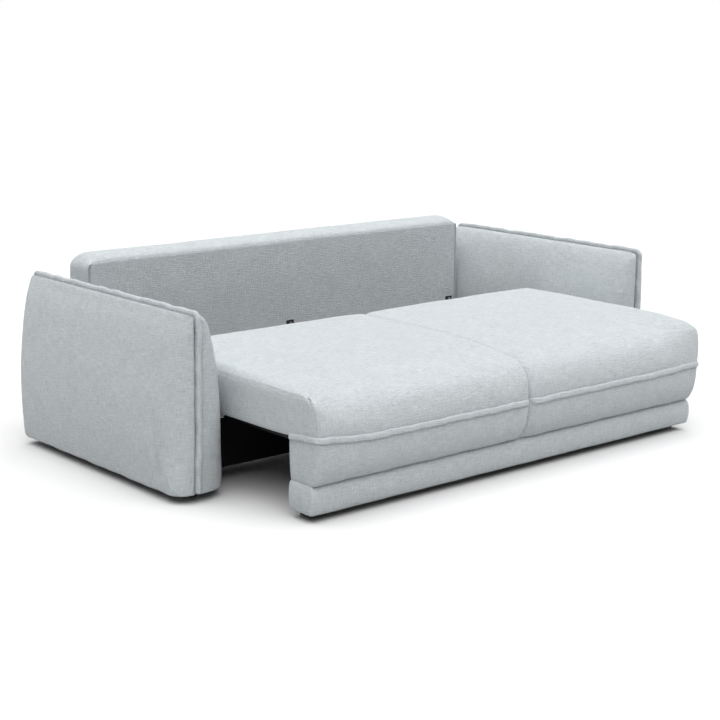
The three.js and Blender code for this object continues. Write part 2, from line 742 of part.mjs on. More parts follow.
function addSeatPadding() {
  const timber = timberEnvelope();
  addPair("seat_cushion", cushionForm(0).subtract(timber), fabric);
  addPair("front_pad", dropForm(0).subtract(timber), fabric);
  const bandX = [touch, seatHalfWidth + pipingSideProud];
  const bandY = [seatFrontY - pipingProud, frontBoxY[1]];
  const radii = [pipingProud, cornerRadius + pipingProud, touch, touch];
  const pipingZ = about(seatUnderside, pipingHeight);
  const bandRings = [pipingZ[0], seatUnderside, pipingZ[1]].map((height) => {
    const inset = height === seatUnderside ? 0 : pipingSideProud / 2;
    const insetX = [bandX[0], bandX[1] - inset];
    const insetY = [bandY[0] + inset, bandY[1]];
    return roundedRectangle(insetX, insetY, radii, straight).map(([x, y]) => [x, y, height]);
  });
  const middle = [seatHalfWidth / 2, (bandY[0] + bandY[1]) / 2];
  const band = loft(bandRings, [...middle, pipingZ[0]], [...middle, pipingZ[1]]);
  const topBack = dropShares[dropShares.length - 1][1];
  const seamShares = [[0, topBack], [1, topBack]];
  const coreX = [touch, seatHalfWidth];
  const core = panelForm(coreX, seatFrontY, pipingZ, seamShares, dropRoll, dropRadii, touch);
  addPair("seat_piping", cut(band, [cushionForm(touch), dropForm(touch), core, timber]), fabric);
  const plinthFrontY = seatDeckY[0] - plinthFoam;
  const plinthX = [-seatHalfWidth, seatHalfWidth];
  const plinthZ = [floorGap, floorGap + plinthHeight];
  const plinthRadii = [plinthCornerRadius, plinthCornerRadius, skirt / 2, skirt / 2];
  const plinth = panelForm(plinthX, plinthFrontY, plinthZ, plinthShares, plinthRoll, plinthRadii, 0);
  addPart("plinth_pad", plinth.subtract(timber), fabric);
}

// Runners, tracks and rollers of the right-hand side

const pinRadius = 4;
const pinHead = 2;
const pinHeadRadius = 6;
const rollerWidth = 16;
const rollerSideGap = 4;
const trackRollerRadius = 15;
const runnerRollerRadius = 15.5;
const trackSheet = 2.5;
const trackDepth = 30;
const trackHeadroom = 4;
const trackStop = 3;
const runnerSheet = 2.3;
const runnerWidth = 40;
const runnerDrop = 38;
const runnerTrackGap = 4;
const runnerFrontGap = 14;
const runnerRearInset = 10;
const runnerRollerSetback = 20;
const trackRollerSetback = 10;

const trackX = [sideBoardSpanX[0] - touch - trackDepth, sideBoardSpanX[0] - touch];
const rollerX = [trackX[0] + rollerSideGap, trackX[0] + rollerSideGap + rollerWidth];
const runnerLegX = [trackX[0] - runnerTrackGap - runnerSheet, trackX[0] - runnerTrackGap];
const runnerY = [frontBoxY[1] + runnerFrontGap, seatRearY - runnerRearInset];
const runnerTop = seatUnderside - touch;
const trackRollerY = sideBoardY[0] + trackRollerSetback;
const trackRollerZ = runnerTop - runnerSheet - touch - trackRollerRadius;
const runnerRollerY = runnerY[1] - runnerRollerSetback;
const trackTop = runnerTop - runnerSheet - trackHeadroom;
const runnerRollerZ = trackTop - trackSheet - touch - runnerRollerRadius;
const rollerBore = pinRadius + touch;

// A channel open towards the middle of the sofa, closed at both ends by the stops of the seat's travel.
function track() {
  const reach = runnerRollerRadius + touch;
  const insideY = [runnerRollerY - reach, runnerRollerY + travel + reach];
  const insideZ = [runnerRollerZ - reach, runnerRollerZ + reach];
  const outsideY = [insideY[0] - trackStop, insideY[1] + trackStop];
  const outside = block(trackX, outsideY, [insideZ[0] - trackSheet, insideZ[1] + trackSheet]);
  return outside.subtract(block([trackX[0] - overrun, trackX[1] - trackSheet], insideY, insideZ));
}

// An angle under the seat deck, which rides on the front roller and carries the rear one.
function runner() {
  const flangeX = [runnerLegX[0], runnerLegX[0] + runnerWidth];
  const flange = block(flangeX, runnerY, [runnerTop - runnerSheet, runnerTop]);
  const leg = block(runnerLegX, runnerY, [runnerTop - runnerDrop, runnerTop]);
  const holeX = [runnerLegX[0] - overrun, runnerLegX[1] + overrun];
  const hole = rod(rollerBore, holeX, "x", [0, runnerRollerY, runnerRollerZ], pinSides);
  return cut(flange.add(leg), [hole]);
}

// A pin's profile from its steps of [radius, where the step starts], up to its end.
function steppedProfile(steps, end) {
  const profile = [[0, steps[0][1]]];
  steps.forEach(([radius, start], i) => {
    profile.push([radius, start], [radius, i + 1 < steps.length ? steps[i + 1][1] : end]);
  });
  profile.push([0, end]);
  return profile;
}

function addRunners() {
  addPair("track", track(), darkSteel);
  addPair("runner", runner(), darkSteel);
  const trackPlace = [0, trackRollerY, trackRollerZ];
  const runnerPlace = [0, runnerRollerY, runnerRollerZ];
  const trackPin = [
    [pinHeadRadius, rollerX[0] - touch - pinHead],
    [pinRadius, rollerX[0] - touch],
    [pinHeadRadius, rollerX[1] + touch],
    [pinRadius, trackX[1]],
  ];
  const runnerPin = [
    [pinHeadRadius, runnerLegX[0] - touch - pinHead],
    [pinRadius, runnerLegX[0] - touch],
    [pinHeadRadius, runnerLegX[1] + touch],
    [pinRadius, rollerX[0] - touch],
    [pinHeadRadius, rollerX[1] + touch],
  ];
  const trackPinProfile = steppedProfile(trackPin, trackPinEnd);
  const runnerPinProfile = steppedProfile(runnerPin, rollerX[1] + touch + pinHead);
  addPair("track_roller_pin", turned(trackPinProfile, "x", trackPlace, pinSides), zinc);
  addPair("runner_roller_pin", turned(runnerPinProfile, "x", runnerPlace, pinSides), zinc);
  addPair("track_roller", ringRoller(rollerBore, trackRollerRadius, rollerX, trackPlace), nylon);
  addPair("runner_roller", ringRoller(rollerBore, runnerRollerRadius, rollerX, runnerPlace), nylon);
}

// Floor wheels under the front box

const wheelHeadroom = 4;
const wheelRadius = (floorGap - wheelHeadroom) / 2;
const wheelWidth = 36;
const wheelInset = 70;
const wheelPinRadius = 3;
const wheelPinInset = 1;
const wheelRoom = 3;
const housingWidth = 72;
const housingDepth = 56;
const housingSetback = 35;
const housingLift = 6;
const wheelX = seatHalfWidth - wheelInset;
const wheelY = seatDeckY[0] + housingSetback + housingDepth / 2;

function addWheels() {
  const place = [wheelX, wheelY, wheelRadius];
  const housingZ = [housingLift, floorGap - touch];
  const pocketX = about(wheelX, wheelWidth + 2 * wheelRoom);
  const pocketY = about(wheelY, 2 * (wheelRadius + wheelRoom));
  const pocket = block(pocketX, pocketY, [0, 2 * wheelRadius + touch]);
  const pinHole = rod(wheelPinRadius + touch, [-housingWidth, housingWidth], "x", place, pinSides);
  const housing = block(about(wheelX, housingWidth), about(wheelY, housingDepth), housingZ);
  const pinSpan = [wheelPinInset - housingWidth / 2, housingWidth / 2 - wheelPinInset];
  addPair("wheel_housing", cut(housing, [pocket, pinHole]), blackPlastic);
  addPair("wheel_pin", rod(wheelPinRadius, pinSpan, "x", place, pinSides), zinc);
  const wheel = ringRoller(wheelPinRadius + touch, wheelRadius, about(0, wheelWidth), place);
  addPair("wheel", wheel, blackPlastic);
}

addArms();
addFeet();
addBackrest();
addBrackets();
addBase();
addDeck();
addSeatDeck();
addFrontBox();
addSeatPadding();
addRunners();
addWheels();

sofa.name = "sleeper_sofa";
export default sofa;
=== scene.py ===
"""The looks of a drawn-out sleeper sofa: its padded covers, piping, wood, steel and floor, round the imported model.

Metres. X runs along the sofa to the right seen from the front, Y to its rear, Z up from the floor.
"""
import math

import bpy
import numpy as np
from mathutils import Matrix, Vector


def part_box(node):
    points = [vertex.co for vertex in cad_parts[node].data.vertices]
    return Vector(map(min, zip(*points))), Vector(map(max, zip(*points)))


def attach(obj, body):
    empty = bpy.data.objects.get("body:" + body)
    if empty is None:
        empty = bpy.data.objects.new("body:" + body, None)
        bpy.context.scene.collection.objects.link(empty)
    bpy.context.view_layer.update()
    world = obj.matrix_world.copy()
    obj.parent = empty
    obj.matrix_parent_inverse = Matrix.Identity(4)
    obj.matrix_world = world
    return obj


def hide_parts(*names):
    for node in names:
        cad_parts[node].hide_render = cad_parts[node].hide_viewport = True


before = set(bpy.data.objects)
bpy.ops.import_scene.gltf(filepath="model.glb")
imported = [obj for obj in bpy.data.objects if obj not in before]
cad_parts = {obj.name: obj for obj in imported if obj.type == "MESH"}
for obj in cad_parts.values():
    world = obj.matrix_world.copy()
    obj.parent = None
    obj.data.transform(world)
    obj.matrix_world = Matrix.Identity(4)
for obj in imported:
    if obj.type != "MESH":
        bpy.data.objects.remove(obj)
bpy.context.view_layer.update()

scene = bpy.context.scene
BASE = "sofa_base"
SEAT = "pull_out_seat"

# Places that the frame gives

cushion_low, cushion_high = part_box("right_seat_cushion")
drop_low, drop_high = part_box("right_front_pad")
piping_low, piping_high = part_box("right_seat_piping")
plinth_low, plinth_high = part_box("plinth_pad")
timber_low, timber_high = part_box("seat_deck_frame")
webbing_low, webbing_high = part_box("seat_webbing")
cover_low, cover_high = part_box("seat_dust_cover")
arm_frame_low, arm_frame_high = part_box("right_arm_frame")
outer_low, outer_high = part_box("right_arm_outer_pad")
inner_low, inner_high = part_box("right_arm_inner_pad")
welt_low, welt_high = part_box("right_arm_welt")
back_low, back_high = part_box("backrest_pad")
back_frame_low, back_frame_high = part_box("backrest_frame")
panel_low, panel_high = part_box("backrest_rear_panel")

CLEAR = 0.0003


# Curves and grids

def smooth_path(rows, count):
    """A curve through the rows, cut into even steps. Each stretch between two rows is the cubic whose slope at a row
    is half the way from the row before it to the row after it."""
    rows = np.array(rows, float)
    rows = np.vstack([2 * rows[0] - rows[1], rows, 2 * rows[-1] - rows[-2]])
    before, start, end, after = (q[:, None] for q in (rows[:-3], rows[1:-2], rows[2:-1], rows[3:]))
    t = np.linspace(0, 1, 25)[None, :-1, None]
    curve = 0.5 * (
        2 * start
        + (end - before) * t
        + (2 * before - 5 * start + 4 * end - after) * t**2
        + (3 * start - before - 3 * end + after) * t**3
    )
    return even_steps(np.vstack([curve.reshape(-1, rows.shape[1]), rows[-2]]), count)


def run_of(curve):
    """How far each row of a curve lies along it."""
    return np.r_[0, np.cumsum(np.linalg.norm(np.diff(curve, axis=0), axis=1))]


def even_steps(curve, count):
    """The same curve, cut into even steps of its own length."""
    along = run_of(curve)
    even = np.linspace(0, along[-1], count)
    return np.stack([np.interp(even, along, column) for column in curve.T], 1)


def lines(length, step, fine=(), fine_step=0.004, reach=0.014):
    """Places of grid lines over a length: even steps, and closer ones within a reach of each place in fine."""
    even = np.linspace(0, length, max(2, round(length / step) + 1))
    away = np.min([np.abs(even - place) for place in fine] or [even * 0 + 1], axis=0)
    close = [np.arange(-reach, reach + fine_step / 2, fine_step) + place for place in fine]
    every = np.unique(np.round(np.concatenate([[0, length], even[away > reach + step / 3], *close]), 6))
    every = every[(every >= 0) & (every <= length)]
    return every[np.r_[True, np.diff(every) > fine_step * 0.45]]


def block_skin(a_lines, b_lines, c_lines):
    """The skin of a block of grid lines: each point's three line places, and one grid of point numbers a face."""
    counts = [len(a_lines), len(b_lines), len(c_lines)]
    a, b, c = np.meshgrid(*[np.arange(n) for n in counts], indexing="ij")
    inside = (a > 0) & (a < counts[0] - 1) & (b > 0) & (b < counts[1] - 1) & (c > 0) & (c < counts[2] - 1)
    number = np.full(counts, -1)
    number[~inside] = np.arange((~inside).sum())
    at = (a_lines[a[~inside]], b_lines[b[~inside]], c_lines[c[~inside]])
    faces = {
        "a0": number[0].T, "a1": number[-1],
        "b0": number[:, 0], "b1": number[:, -1].T,
        "c0": number[:, :, 0].T, "c1": number[:, :, -1],
    }
    return at, faces


def arc_places(points, grid, axis):
    """For each point of a grid, how far it lies along its own line of the grid."""
    step = np.linalg.norm(np.diff(points[grid], axis=axis), axis=2)
    start = np.zeros_like(np.take(step, [0], axis=axis))
    return np.cumsum(np.concatenate([start, step], axis=axis), axis=axis)


def flat_weave(points, faces, pairs):
    """The weave's places on each grid, read straight from two of the three coordinates."""
    return {key: points[grid][..., list(pairs[key[0]])] for key, grid in faces.items()}


def skin_piece(name, points, faces, weave):
    """A mesh from points, grids of point numbers and the weave's places on each grid, in metres of cloth."""
    around = [(slice(None, -1), slice(None, -1)), (slice(1, None), slice(None, -1)),
              (slice(1, None), slice(1, None)), (slice(None, -1), slice(1, None))]
    quads = np.concatenate([np.stack([grid[s] for s in around], -1).reshape(-1, 4) for grid in faces.values()])
    places = np.concatenate([np.stack([weave[key][s] for s in around], 2).reshape(-1, 4, 2) for key in faces])
    return mesh_piece(name, points, quads, places)


def mesh_piece(name, points, quads, places):
    """A mesh from points, faces of four points and the weave's place at each of their corners. All faces turn round
    together where the volume inside, a sixth of the sum of triple products, comes out negative."""
    first, second, third, fourth = (points[quads[:, k]] for k in range(4))
    volume = np.einsum("ij,ij->", first, np.cross(second, third) + np.cross(third, fourth))
    if volume < 0:
        quads = quads[:, ::-1]
        places = places[:, ::-1]
    mesh = bpy.data.meshes.new(name)
    mesh.vertices.add(len(points))
    mesh.vertices.foreach_set("co", points.astype(np.float32).ravel())
    mesh.loops.add(quads.size)
    mesh.loops.foreach_set("vertex_index", np.ascontiguousarray(quads, np.int32).ravel())
    mesh.polygons.add(len(quads))
    mesh.polygons.foreach_set("loop_start", np.arange(0, quads.size, 4, dtype=np.int32))
    mesh.update(calc_edges=True)
    mesh.polygons.foreach_set("use_smooth", np.ones(len(quads), bool))
    layer = mesh.uv_layers.new(name="weave")
    layer.data.foreach_set("uv", np.ascontiguousarray(places, np.float32).ravel())
    mesh.validate()
    piece = bpy.data.objects.new(name, mesh)
    scene.collection.objects.link(piece)
    return piece


def sided(name, points, faces, weave, sign):
    """The piece as it is for the right-hand side, or mirrored, from another stretch of cloth, for the left."""
    shift = (0, 0) if sign > 0 else (3.37, 1.71)
    return skin_piece(name, points * (sign, 1, 1), faces, {key: at + shift for key, at in weave.items()})


def swept(name, path, along, across, out, section, sign):
    """A closed section carried along a path: each point is the path's point, plus the section's first number in one
    direction for all rows and its second number in the row's outward direction. The section has an even number of
    points that mirror each other, so each end closes with a ladder of quads. The weave runs along the path."""
    rows, count = len(path), len(section)
    points = path[:, None] + section[None, :, :1] * np.array(across) + section[None, :, 1:] * out[:, None]
    points = points.reshape(-1, 3)
    number = np.arange(rows * count).reshape(rows, count)
    rungs = np.arange(count // 2)
    ladder = np.stack([rungs, count - 1 - rungs], 1)
    faces = {
        "skin": np.concatenate([number, number[:, :1]], 1),
        "start": number[0][ladder],
        "end": number[-1][ladder[:, ::-1]],
    }
    round_it = run_of(np.vstack([section, section[:1]]))
    weave = {"skin": np.stack(np.broadcast_arrays(along[:, None], round_it[None]), -1)}
    weave["start"] = weave["end"] = section[ladder]
    return sided(name, points, faces, weave, sign)


def points_of(mesh):
    """Where a mesh's points are, a row each."""
    places = np.zeros(len(mesh.vertices) * 3, np.float32)
    mesh.vertices.foreach_get("co", places)
    return places.reshape(-1, 3).astype(float)


def normals_of(mesh):
    """Which way is outward at each of a mesh's points."""
    normals = np.zeros(len(mesh.vertices) * 3, np.float32)
    mesh.vertex_normals.foreach_get("vector", normals)
    return normals.reshape(-1, 3)


def move_points(mesh, places):
    """Puts a mesh's points at their new places."""
    mesh.vertices.foreach_set("co", places.astype(np.float32).ravel())
    mesh.update()


def ease(t):
    """Rises from 0 to 1 with level ends: three squares less two cubes."""
    t = np.clip(t, 0, 1)
    return t * t * (3 - 2 * t)


def swell(distance, reach, power=2.2):
    """How far a filled top has risen at a distance from its seam: one less a falling power."""
    return 1 - (1 - np.clip(distance / reach, 0, 1)) ** power


def unevenness(x, y, z, size, seed):
    """A gentle unevenness from -1 to 1: the mean of six waves of about the given size in chosen directions."""
    total = 0
    for k in range(6):
        turn = seed + k * 2.399
        lean = 0.6 * math.sin(seed * 1.7 + k)
        pace = 2 * math.pi / (size * (0.75 + 0.11 * k))
        total = total + np.sin((x * math.cos(turn) + y * math.sin(turn) + z * lean) * pace + seed * 3.1 + k * k)
    return total / 6


def gathers(along, away, size, reach, seed):
    """Small folds that run square to a seam and die out away from it: a wave along the seam whose pace wanders,
    times a falling exponential of the distance."""
    wander = 1.3 * np.sin(along * 9 + seed) + 0.8 * np.sin(along * 23 + seed * 2.3)
    strength = 0.55 + 0.45 * np.sin(along * 14 + seed * 4.1)
    return np.sin(2 * math.pi * along / size + wander) * strength * np.exp(-np.abs(away) / reach)


def groove(away, width):
    """A seam's dip, 1 at the seam: a bell curve of the distance over the width."""
    return np.exp(-((away / width) ** 2))


def round_corners(x, y, x_range, y_range, radii):
    """Rounds the corners of a filled rectangle: in each corner's square, a place (u, v) from the square's inner
    corner goes to (u * sqrt(1 - v*v/2), v * sqrt(1 - u*u/2)), which bends the square into a quarter disc. A pair
    of radii makes a quarter oval. The corners go round from the lowest x and y by way of the highest x."""
    x_new, y_new = x.copy(), y.copy()
    for (right, rear), radius in zip([(0, 0), (1, 0), (1, 1), (0, 1)], radii):
        if np.ndim(radius) == 0 and radius == 0:
            continue
        wide, deep = radius if isinstance(radius, tuple) else (radius, radius)
        u = 1 - (x_range[1] - x if right else x - x_range[0]) / wide
        v = 1 - (y_range[1] - y if rear else y - y_range[0]) / deep
        here = (u > 0) & (v > 0)
        u, v = np.clip(u, 0, 1), np.clip(v, 0, 1)
        inset_x = wide * (1 - u * np.sqrt(1 - v * v / 2))
        inset_y = deep * (1 - v * np.sqrt(1 - u * u / 2))
        x_new = np.where(here, x_range[1] - inset_x if right else x_range[0] + inset_x, x_new)
        y_new = np.where(here, y_range[1] - inset_y if rear else y_range[0] + inset_y, y_new)
    return x_new, y_new


def press(piece, depth):
    """Pushes each point of a piece in by its own depth, against the surface's normal."""
    move_points(piece.data, points_of(piece.data) - normals_of(piece.data) * np.asarray(depth)[:, None])
    return piece


PUFF_FRAMES = 20
PUFF_PRESSURE = 4
PUFF_STIFFNESS = 1500
START_SHARE = 0.55
HELD_BELOW = 0.02
covers = []


def sewn(piece, free, depth, swelling):
    """Notes how far each point of a cover is free to swell, from 0 at its seams to 1, how deep its folds are pressed
    once it has swelled, and how far it swells at most."""
    covers.append((piece, free, np.broadcast_to(depth, len(free)), swelling))
    return piece


def puff():
    """Lets all covers swell together as stiff cloth under air pressure, held at their seams. Each starts smaller by a
    share of its swelling, and no point moves inwards, or further than the swelling. Folds are pressed in afterwards."""
    started = []
    for piece, free, depth, swelling in covers:
        press(piece, free * swelling * START_SHARE)
        held = piece.vertex_groups.new(name="held")
        held.add(np.flatnonzero(free < HELD_BELOW).tolist(), 1.0, "REPLACE")
        cloth = piece.modifiers.new("cloth", "CLOTH")
        cloth.settings.vertex_group_mass = "held"
        cloth.settings.tension_stiffness = cloth.settings.compression_stiffness = PUFF_STIFFNESS
        cloth.settings.shear_stiffness = PUFF_STIFFNESS
        cloth.settings.use_pressure = True
        cloth.settings.uniform_pressure_force = PUFF_PRESSURE
        cloth.settings.effector_weights.gravity = 0
        cloth.point_cache.frame_end = PUFF_FRAMES
        started.append(points_of(piece.data))
    for step in range(1, PUFF_FRAMES + 1):
        scene.frame_set(step)
    swelled = [points_of(piece.evaluated_get(bpy.context.evaluated_depsgraph_get()).data) for piece, *_ in covers]
    for (piece, free, depth, swelling), before, after in zip(covers, started, swelled):
        piece.modifiers.clear()
        piece.vertex_groups.clear()
        normals = normals_of(piece.data)
        move = after - before
        outward = np.einsum("ij,ij->i", move, normals)
        move -= np.minimum(outward, 0)[:, None] * normals
        length = np.maximum(np.linalg.norm(move, axis=1), 1e-9)
        move_points(piece.data, before + move * np.minimum(1, swelling / length)[:, None])
        press(piece, depth)
    scene.frame_set(1)


def finish_cover(piece, body, nodes, fill=None):
    """Gives a cloth cover its material, its finer surface, its body and the solids that it stands for."""
    piece.data.materials.append(UPHOLSTERY)
    finer = piece.modifiers.new("finer", "SUBSURF")
    finer.levels = finer.render_levels = 1
    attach(piece, body)
    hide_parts(*nodes)


def both_sides(maker, name, body, node, fill):
    """Makes a piece of the right-hand side and its mirror image on the left, and what finishing each needs."""
    sides = (("right", 1), ("left", -1))
    return [(maker(f"{side}_{name}", sign), body, [f"{side}_{node}"], fill) for side, sign in sides]


def finish_lining(piece, node):
    """Gives a stretched lining its cloth, its body and the solid that it stands for."""
    piece.data.materials.append(LINING_AND_SHADE)
    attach(piece, SEAT)
    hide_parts(node)


# Materials

class Graph:
    """A material's nodes, made and joined with short calls."""

    def __init__(self, name):
        self.material = bpy.data.materials.new(name)
        self.material.use_nodes = True
        self.tree = self.material.node_tree
        self.shader = self.tree.nodes["Principled BSDF"]
        self.output = self.tree.nodes["Material Output"]

    def add(self, kind, settings=(), **inputs):
        """A new node with its settings and inputs. An input goes by its name, or by its number after an i."""
        node = self.tree.nodes.new(kind)
        for key, value in dict(settings).items():
            setattr(node, key, value)
        for key, value in inputs.items():
            numbered = key[0] == "i" and key[1:].isdigit()
            self.feed(node.inputs[int(key[1:]) if numbered else key.replace("_", " ")], value)
        return node

    def feed(self, socket, value):
        """Joins another node's output to a socket, or sets the socket itself."""
        if isinstance(value, bpy.types.NodeSocket):
            self.tree.links.new(value, socket)
        else:
            socket.default_value = value

    def math(self, operation, first, second=0.5, third=0.5):
        node = self.add("ShaderNodeMath", {"operation": operation}, i0=first, i1=second, i2=third)
        return node.outputs[0]

    def scaled(self, vector, scale):
        return self.add("ShaderNodeMapping", Vector=vector, Scale=scale).outputs[0]

    def noise(self, vector, scale=1.0, detail=2.0, roughness=0.5):
        return self.add("ShaderNodeTexNoise", Vector=vector, Scale=scale, Detail=detail, Roughness=roughness).outputs[0]

    def spread(self, value, low, high, to_low=0.0, to_high=1.0):
        """The value's range from low to high, stretched to another one and cut off at its ends."""
        node = self.add("ShaderNodeMapRange", i0=value, i1=low, i2=high, i3=to_low, i4=to_high)
        return node.outputs[0]

    def mix(self, share, first, second):
        """The first colour at a share of 0, the second at 1."""
        node = self.add("ShaderNodeMix", {"data_type": "RGBA"})
        self.feed(node.inputs[0], share)
        self.feed(node.inputs[6], first)
        self.feed(node.inputs[7], second)
        return node.outputs[2]

    def bump(self, height, distance, strength=1.0, below=None):
        """A normal tilted by a height map of the given depth in metres, over the one below."""
        node = self.add("ShaderNodeBump", Height=height, Distance=distance, Strength=strength)
        if below is not None:
            self.feed(node.inputs["Normal"], below)
        return node.outputs[0]

    def place(self):
        return self.add("ShaderNodeTexCoord").outputs["Object"]


WEAVE_PITCH = 0.0024
KNOT_HEIGHT = 0.0003
SLUB_HEIGHT = 0.011
CLOTH_DARK = (0.505, 0.558, 0.578, 1)
CLOTH_PALE = (0.785, 0.828, 0.848, 1)
# Where the noise of the yarns turns from the dark colour to the pale one.
TONE_SPREAD = (0.385, 0.585)


def woven_cloth():
    """A plain weave of melange yarns, read from the cloth's own places: pale and darker yarns run both ways with
    slubs 20 to 60 mm long, over a fine weave and faint patches a hand wide."""
    g = Graph("upholstery_cloth")
    cloth = g.add("ShaderNodeUVMap", {"uv_map": "weave"}).outputs[0]
    weft = g.noise(g.scaled(cloth, (24, 300, 1)), detail=3, roughness=0.7)
    warp = g.noise(g.scaled(cloth, (300, 24, 1)), detail=3, roughness=0.7)
    patches = g.noise(cloth, scale=11, detail=3, roughness=0.55)
    flecks = g.noise(g.scaled(cloth, (420, 420, 1)), detail=1)
    yarns = g.math("ADD", g.math("MULTIPLY", weft, 0.4), g.math("MULTIPLY", warp, 0.3))
    yarns = g.math("ADD", yarns, g.math("MULTIPLY", flecks, 0.2))
    toned = g.math("ADD", yarns, g.math("MULTIPLY", patches, 0.07))
    share = g.spread(toned, *TONE_SPREAD)
    colour = g.mix(share, CLOTH_DARK, CLOTH_PALE)
    split = g.add("ShaderNodeSeparateXYZ", Vector=cloth)
    across = g.math("SINE", g.math("MULTIPLY", split.outputs[0], 2 * math.pi / WEAVE_PITCH))
    along = g.math("SINE", g.math("MULTIPLY", split.outputs[1], 2 * math.pi / WEAVE_PITCH))
    knots = g.math("MULTIPLY", across, along)
    weave = g.bump(knots, KNOT_HEIGHT)
    slubs = g.bump(yarns, SLUB_HEIGHT, below=weave)
    g.feed(g.shader.inputs["Base Color"], colour)
    g.feed(g.shader.inputs["Normal"], slubs)
    g.shader.inputs["Roughness"].default_value = 0.92
    g.shader.inputs["Specular IOR Level"].default_value = 0.25
    g.shader.inputs["Sheen Weight"].default_value = 0.2
    g.shader.inputs["Sheen Roughness"].default_value = 0.5
    g.feed(g.output.inputs[0], g.shader.outputs[0])
    return g.material


def sewing_thread():
    """Grey polyester thread: a twist seen as fine stripes of noise."""
    g = Graph("sewing_thread")
    twist = g.noise(g.place(), scale=1500, detail=2)
    g.feed(g.shader.inputs["Base Color"], g.mix(twist, (0.11, 0.125, 0.135, 1), (0.25, 0.275, 0.29, 1)))
    g.feed(g.shader.inputs["Normal"], g.bump(twist, 0.0002))
    g.shader.inputs["Roughness"].default_value = 0.7
    return g.material


def lining_cloth():
    """Black non-woven lining: a felted noise in colour and height. Its near-black colour is partly the lining's own and
    partly painted shade for the dark space under the seat.
    """
    g = Graph("black_lining_and_painted_shade")
    place = g.place()
    felt = g.noise(place, scale=900, detail=2)
    cloudy = g.noise(place, scale=25, detail=3)
    # Painted shade in part: the lining is made nearly black so that the space under the seat looks as dark as deep
    # shade.
    colour = g.mix(g.math("MULTIPLY", felt, cloudy), (0.006, 0.006, 0.0065, 1), (0.022, 0.022, 0.023, 1))
    g.feed(g.shader.inputs["Base Color"], colour)
    g.feed(g.shader.inputs["Normal"], g.bump(felt, 0.0004))
    g.shader.inputs["Roughness"].default_value = 0.95
    g.shader.inputs["Specular IOR Level"].default_value = 0.1
    return g.material


def darkened_wood(name, grain):
    """Softwood whose rings are noise stretched along the grain, with fine pores. Its nearly black colour is painted
    shade for the dark space under the seat; the rings and pores are its own grain.
    """
    g = Graph(name)
    place = g.place()
    stretched = g.scaled(place, tuple(1.2 if axis == grain else 26 for axis in "xyz"))
    rings = g.noise(stretched, scale=1.6, detail=4, roughness=0.6)
    pores = g.noise(g.scaled(place, tuple(18 if axis == grain else 700 for axis in "xyz")), detail=2)
    share = g.spread(g.math("ADD", g.math("MULTIPLY", rings, 0.75), g.math("MULTIPLY", pores, 0.25)), 0.35, 0.65)
    # Painted shade: both wood colours are nearly black so that the timber under the seat reads as deep shade.
    colour = g.mix(share, (0.012, 0.0095, 0.0075, 1), (0.042, 0.034, 0.027, 1))
    g.feed(g.shader.inputs["Base Color"], colour)
    g.feed(g.shader.inputs["Roughness"], g.spread(pores, 0.3, 0.7, 0.55, 0.8))
    g.feed(g.shader.inputs["Normal"], g.bump(share, 0.0004))
    return g.material


def coated_steel():
    """Steel under a dark satin coat with an orange-peel surface and rubbed patches."""
    g = Graph("dark_steel_coat")
    place = g.place()
    peel = g.noise(place, scale=900, detail=1)
    rubbed = g.spread(g.noise(place, scale=45, detail=4, roughness=0.65), 0.5, 0.75)
    g.feed(g.shader.inputs["Base Color"], g.mix(rubbed, (0.018, 0.02, 0.023, 1), (0.06, 0.065, 0.07, 1)))
    g.feed(g.shader.inputs["Roughness"], g.spread(rubbed, 0, 1, 0.5, 0.36))
    g.feed(g.shader.inputs["Normal"], g.bump(peel, 0.0001))
    g.shader.inputs["Metallic"].default_value = 0.5
    return g.material


def bright_zinc():
    """Zinc plate with a faint crystal mottle and turning marks."""
    g = Graph("zinc_plate")
    place = g.place()
    mottle = g.noise(place, scale=260, detail=3, roughness=0.6)
    g.feed(g.shader.inputs["Base Color"], g.mix(mottle, (0.42, 0.43, 0.44, 1), (0.66, 0.67, 0.68, 1)))
    g.feed(g.shader.inputs["Roughness"], g.spread(mottle, 0.3, 0.7, 0.25, 0.42))
    g.feed(g.shader.inputs["Normal"], g.bump(g.noise(g.scaled(place, (120, 1800, 1800))), 0.00008))
    g.shader.inputs["Metallic"].default_value = 1.0
    return g.material


def moulded_plastic(name, dark, pale, roughness):
    """Moulded plastic with a fine spark-eroded grain."""
    g = Graph(name)
    place = g.place()
    grain = g.noise(place, scale=1300, detail=2)
    cloudy = g.noise(place, scale=30, detail=2)
    g.feed(g.shader.inputs["Base Color"], g.mix(cloudy, dark, pale))
    g.feed(g.shader.inputs["Roughness"], g.spread(grain, 0.3, 0.7, roughness - 0.06, roughness + 0.06))
    g.feed(g.shader.inputs["Normal"], g.bump(grain, 0.00012))
    return g.material


UPHOLSTERY = woven_cloth()
THREAD = sewing_thread()
LINING_AND_SHADE = lining_cloth()
WOOD_ALONG = darkened_wood("wood_grain_along_painted_shade", "x")
WOOD_ACROSS = darkened_wood("wood_grain_across_painted_shade", "y")
STEEL = coated_steel()
ZINC = bright_zinc()
BLACK_PLASTIC = moulded_plastic("black_moulding", (0.012, 0.012, 0.013, 1), (0.024, 0.024, 0.026, 1), 0.5)
NYLON = moulded_plastic("nylon_moulding", (0.6, 0.585, 0.53, 1), (0.72, 0.7, 0.64, 1), 0.42)


# Seat cushions

SEAT_CROWN = 0.046
SEAT_FRONT_ROLL = 0.095
SEAT_END_ROLLS = {1: 0.020, -1: 0.060}
SEAT_END_QUICK = {1: 0.034, -1: 0.03}
SEAT_END_REACH = {1: 0.24, -1: 0.13}
SEAT_SIDE_ROLL = 0.008
SEAT_SIDE_DRAW_IN = 0.003
SEAT_DART = 0.03
# The plan's corner radii, by side: the cloth is drawn tighter round some corners than round others.
SEAT_CORNERS = {1: 0.018, -1: 0.036}
SEAT_MIDDLE_CORNERS = {1: (0.055, 0.105), -1: (0.008, 0.010)}
SEAT_REAR_CORNER = 0.014
SEAT_REAR_MIDDLE_CORNER = 0.03
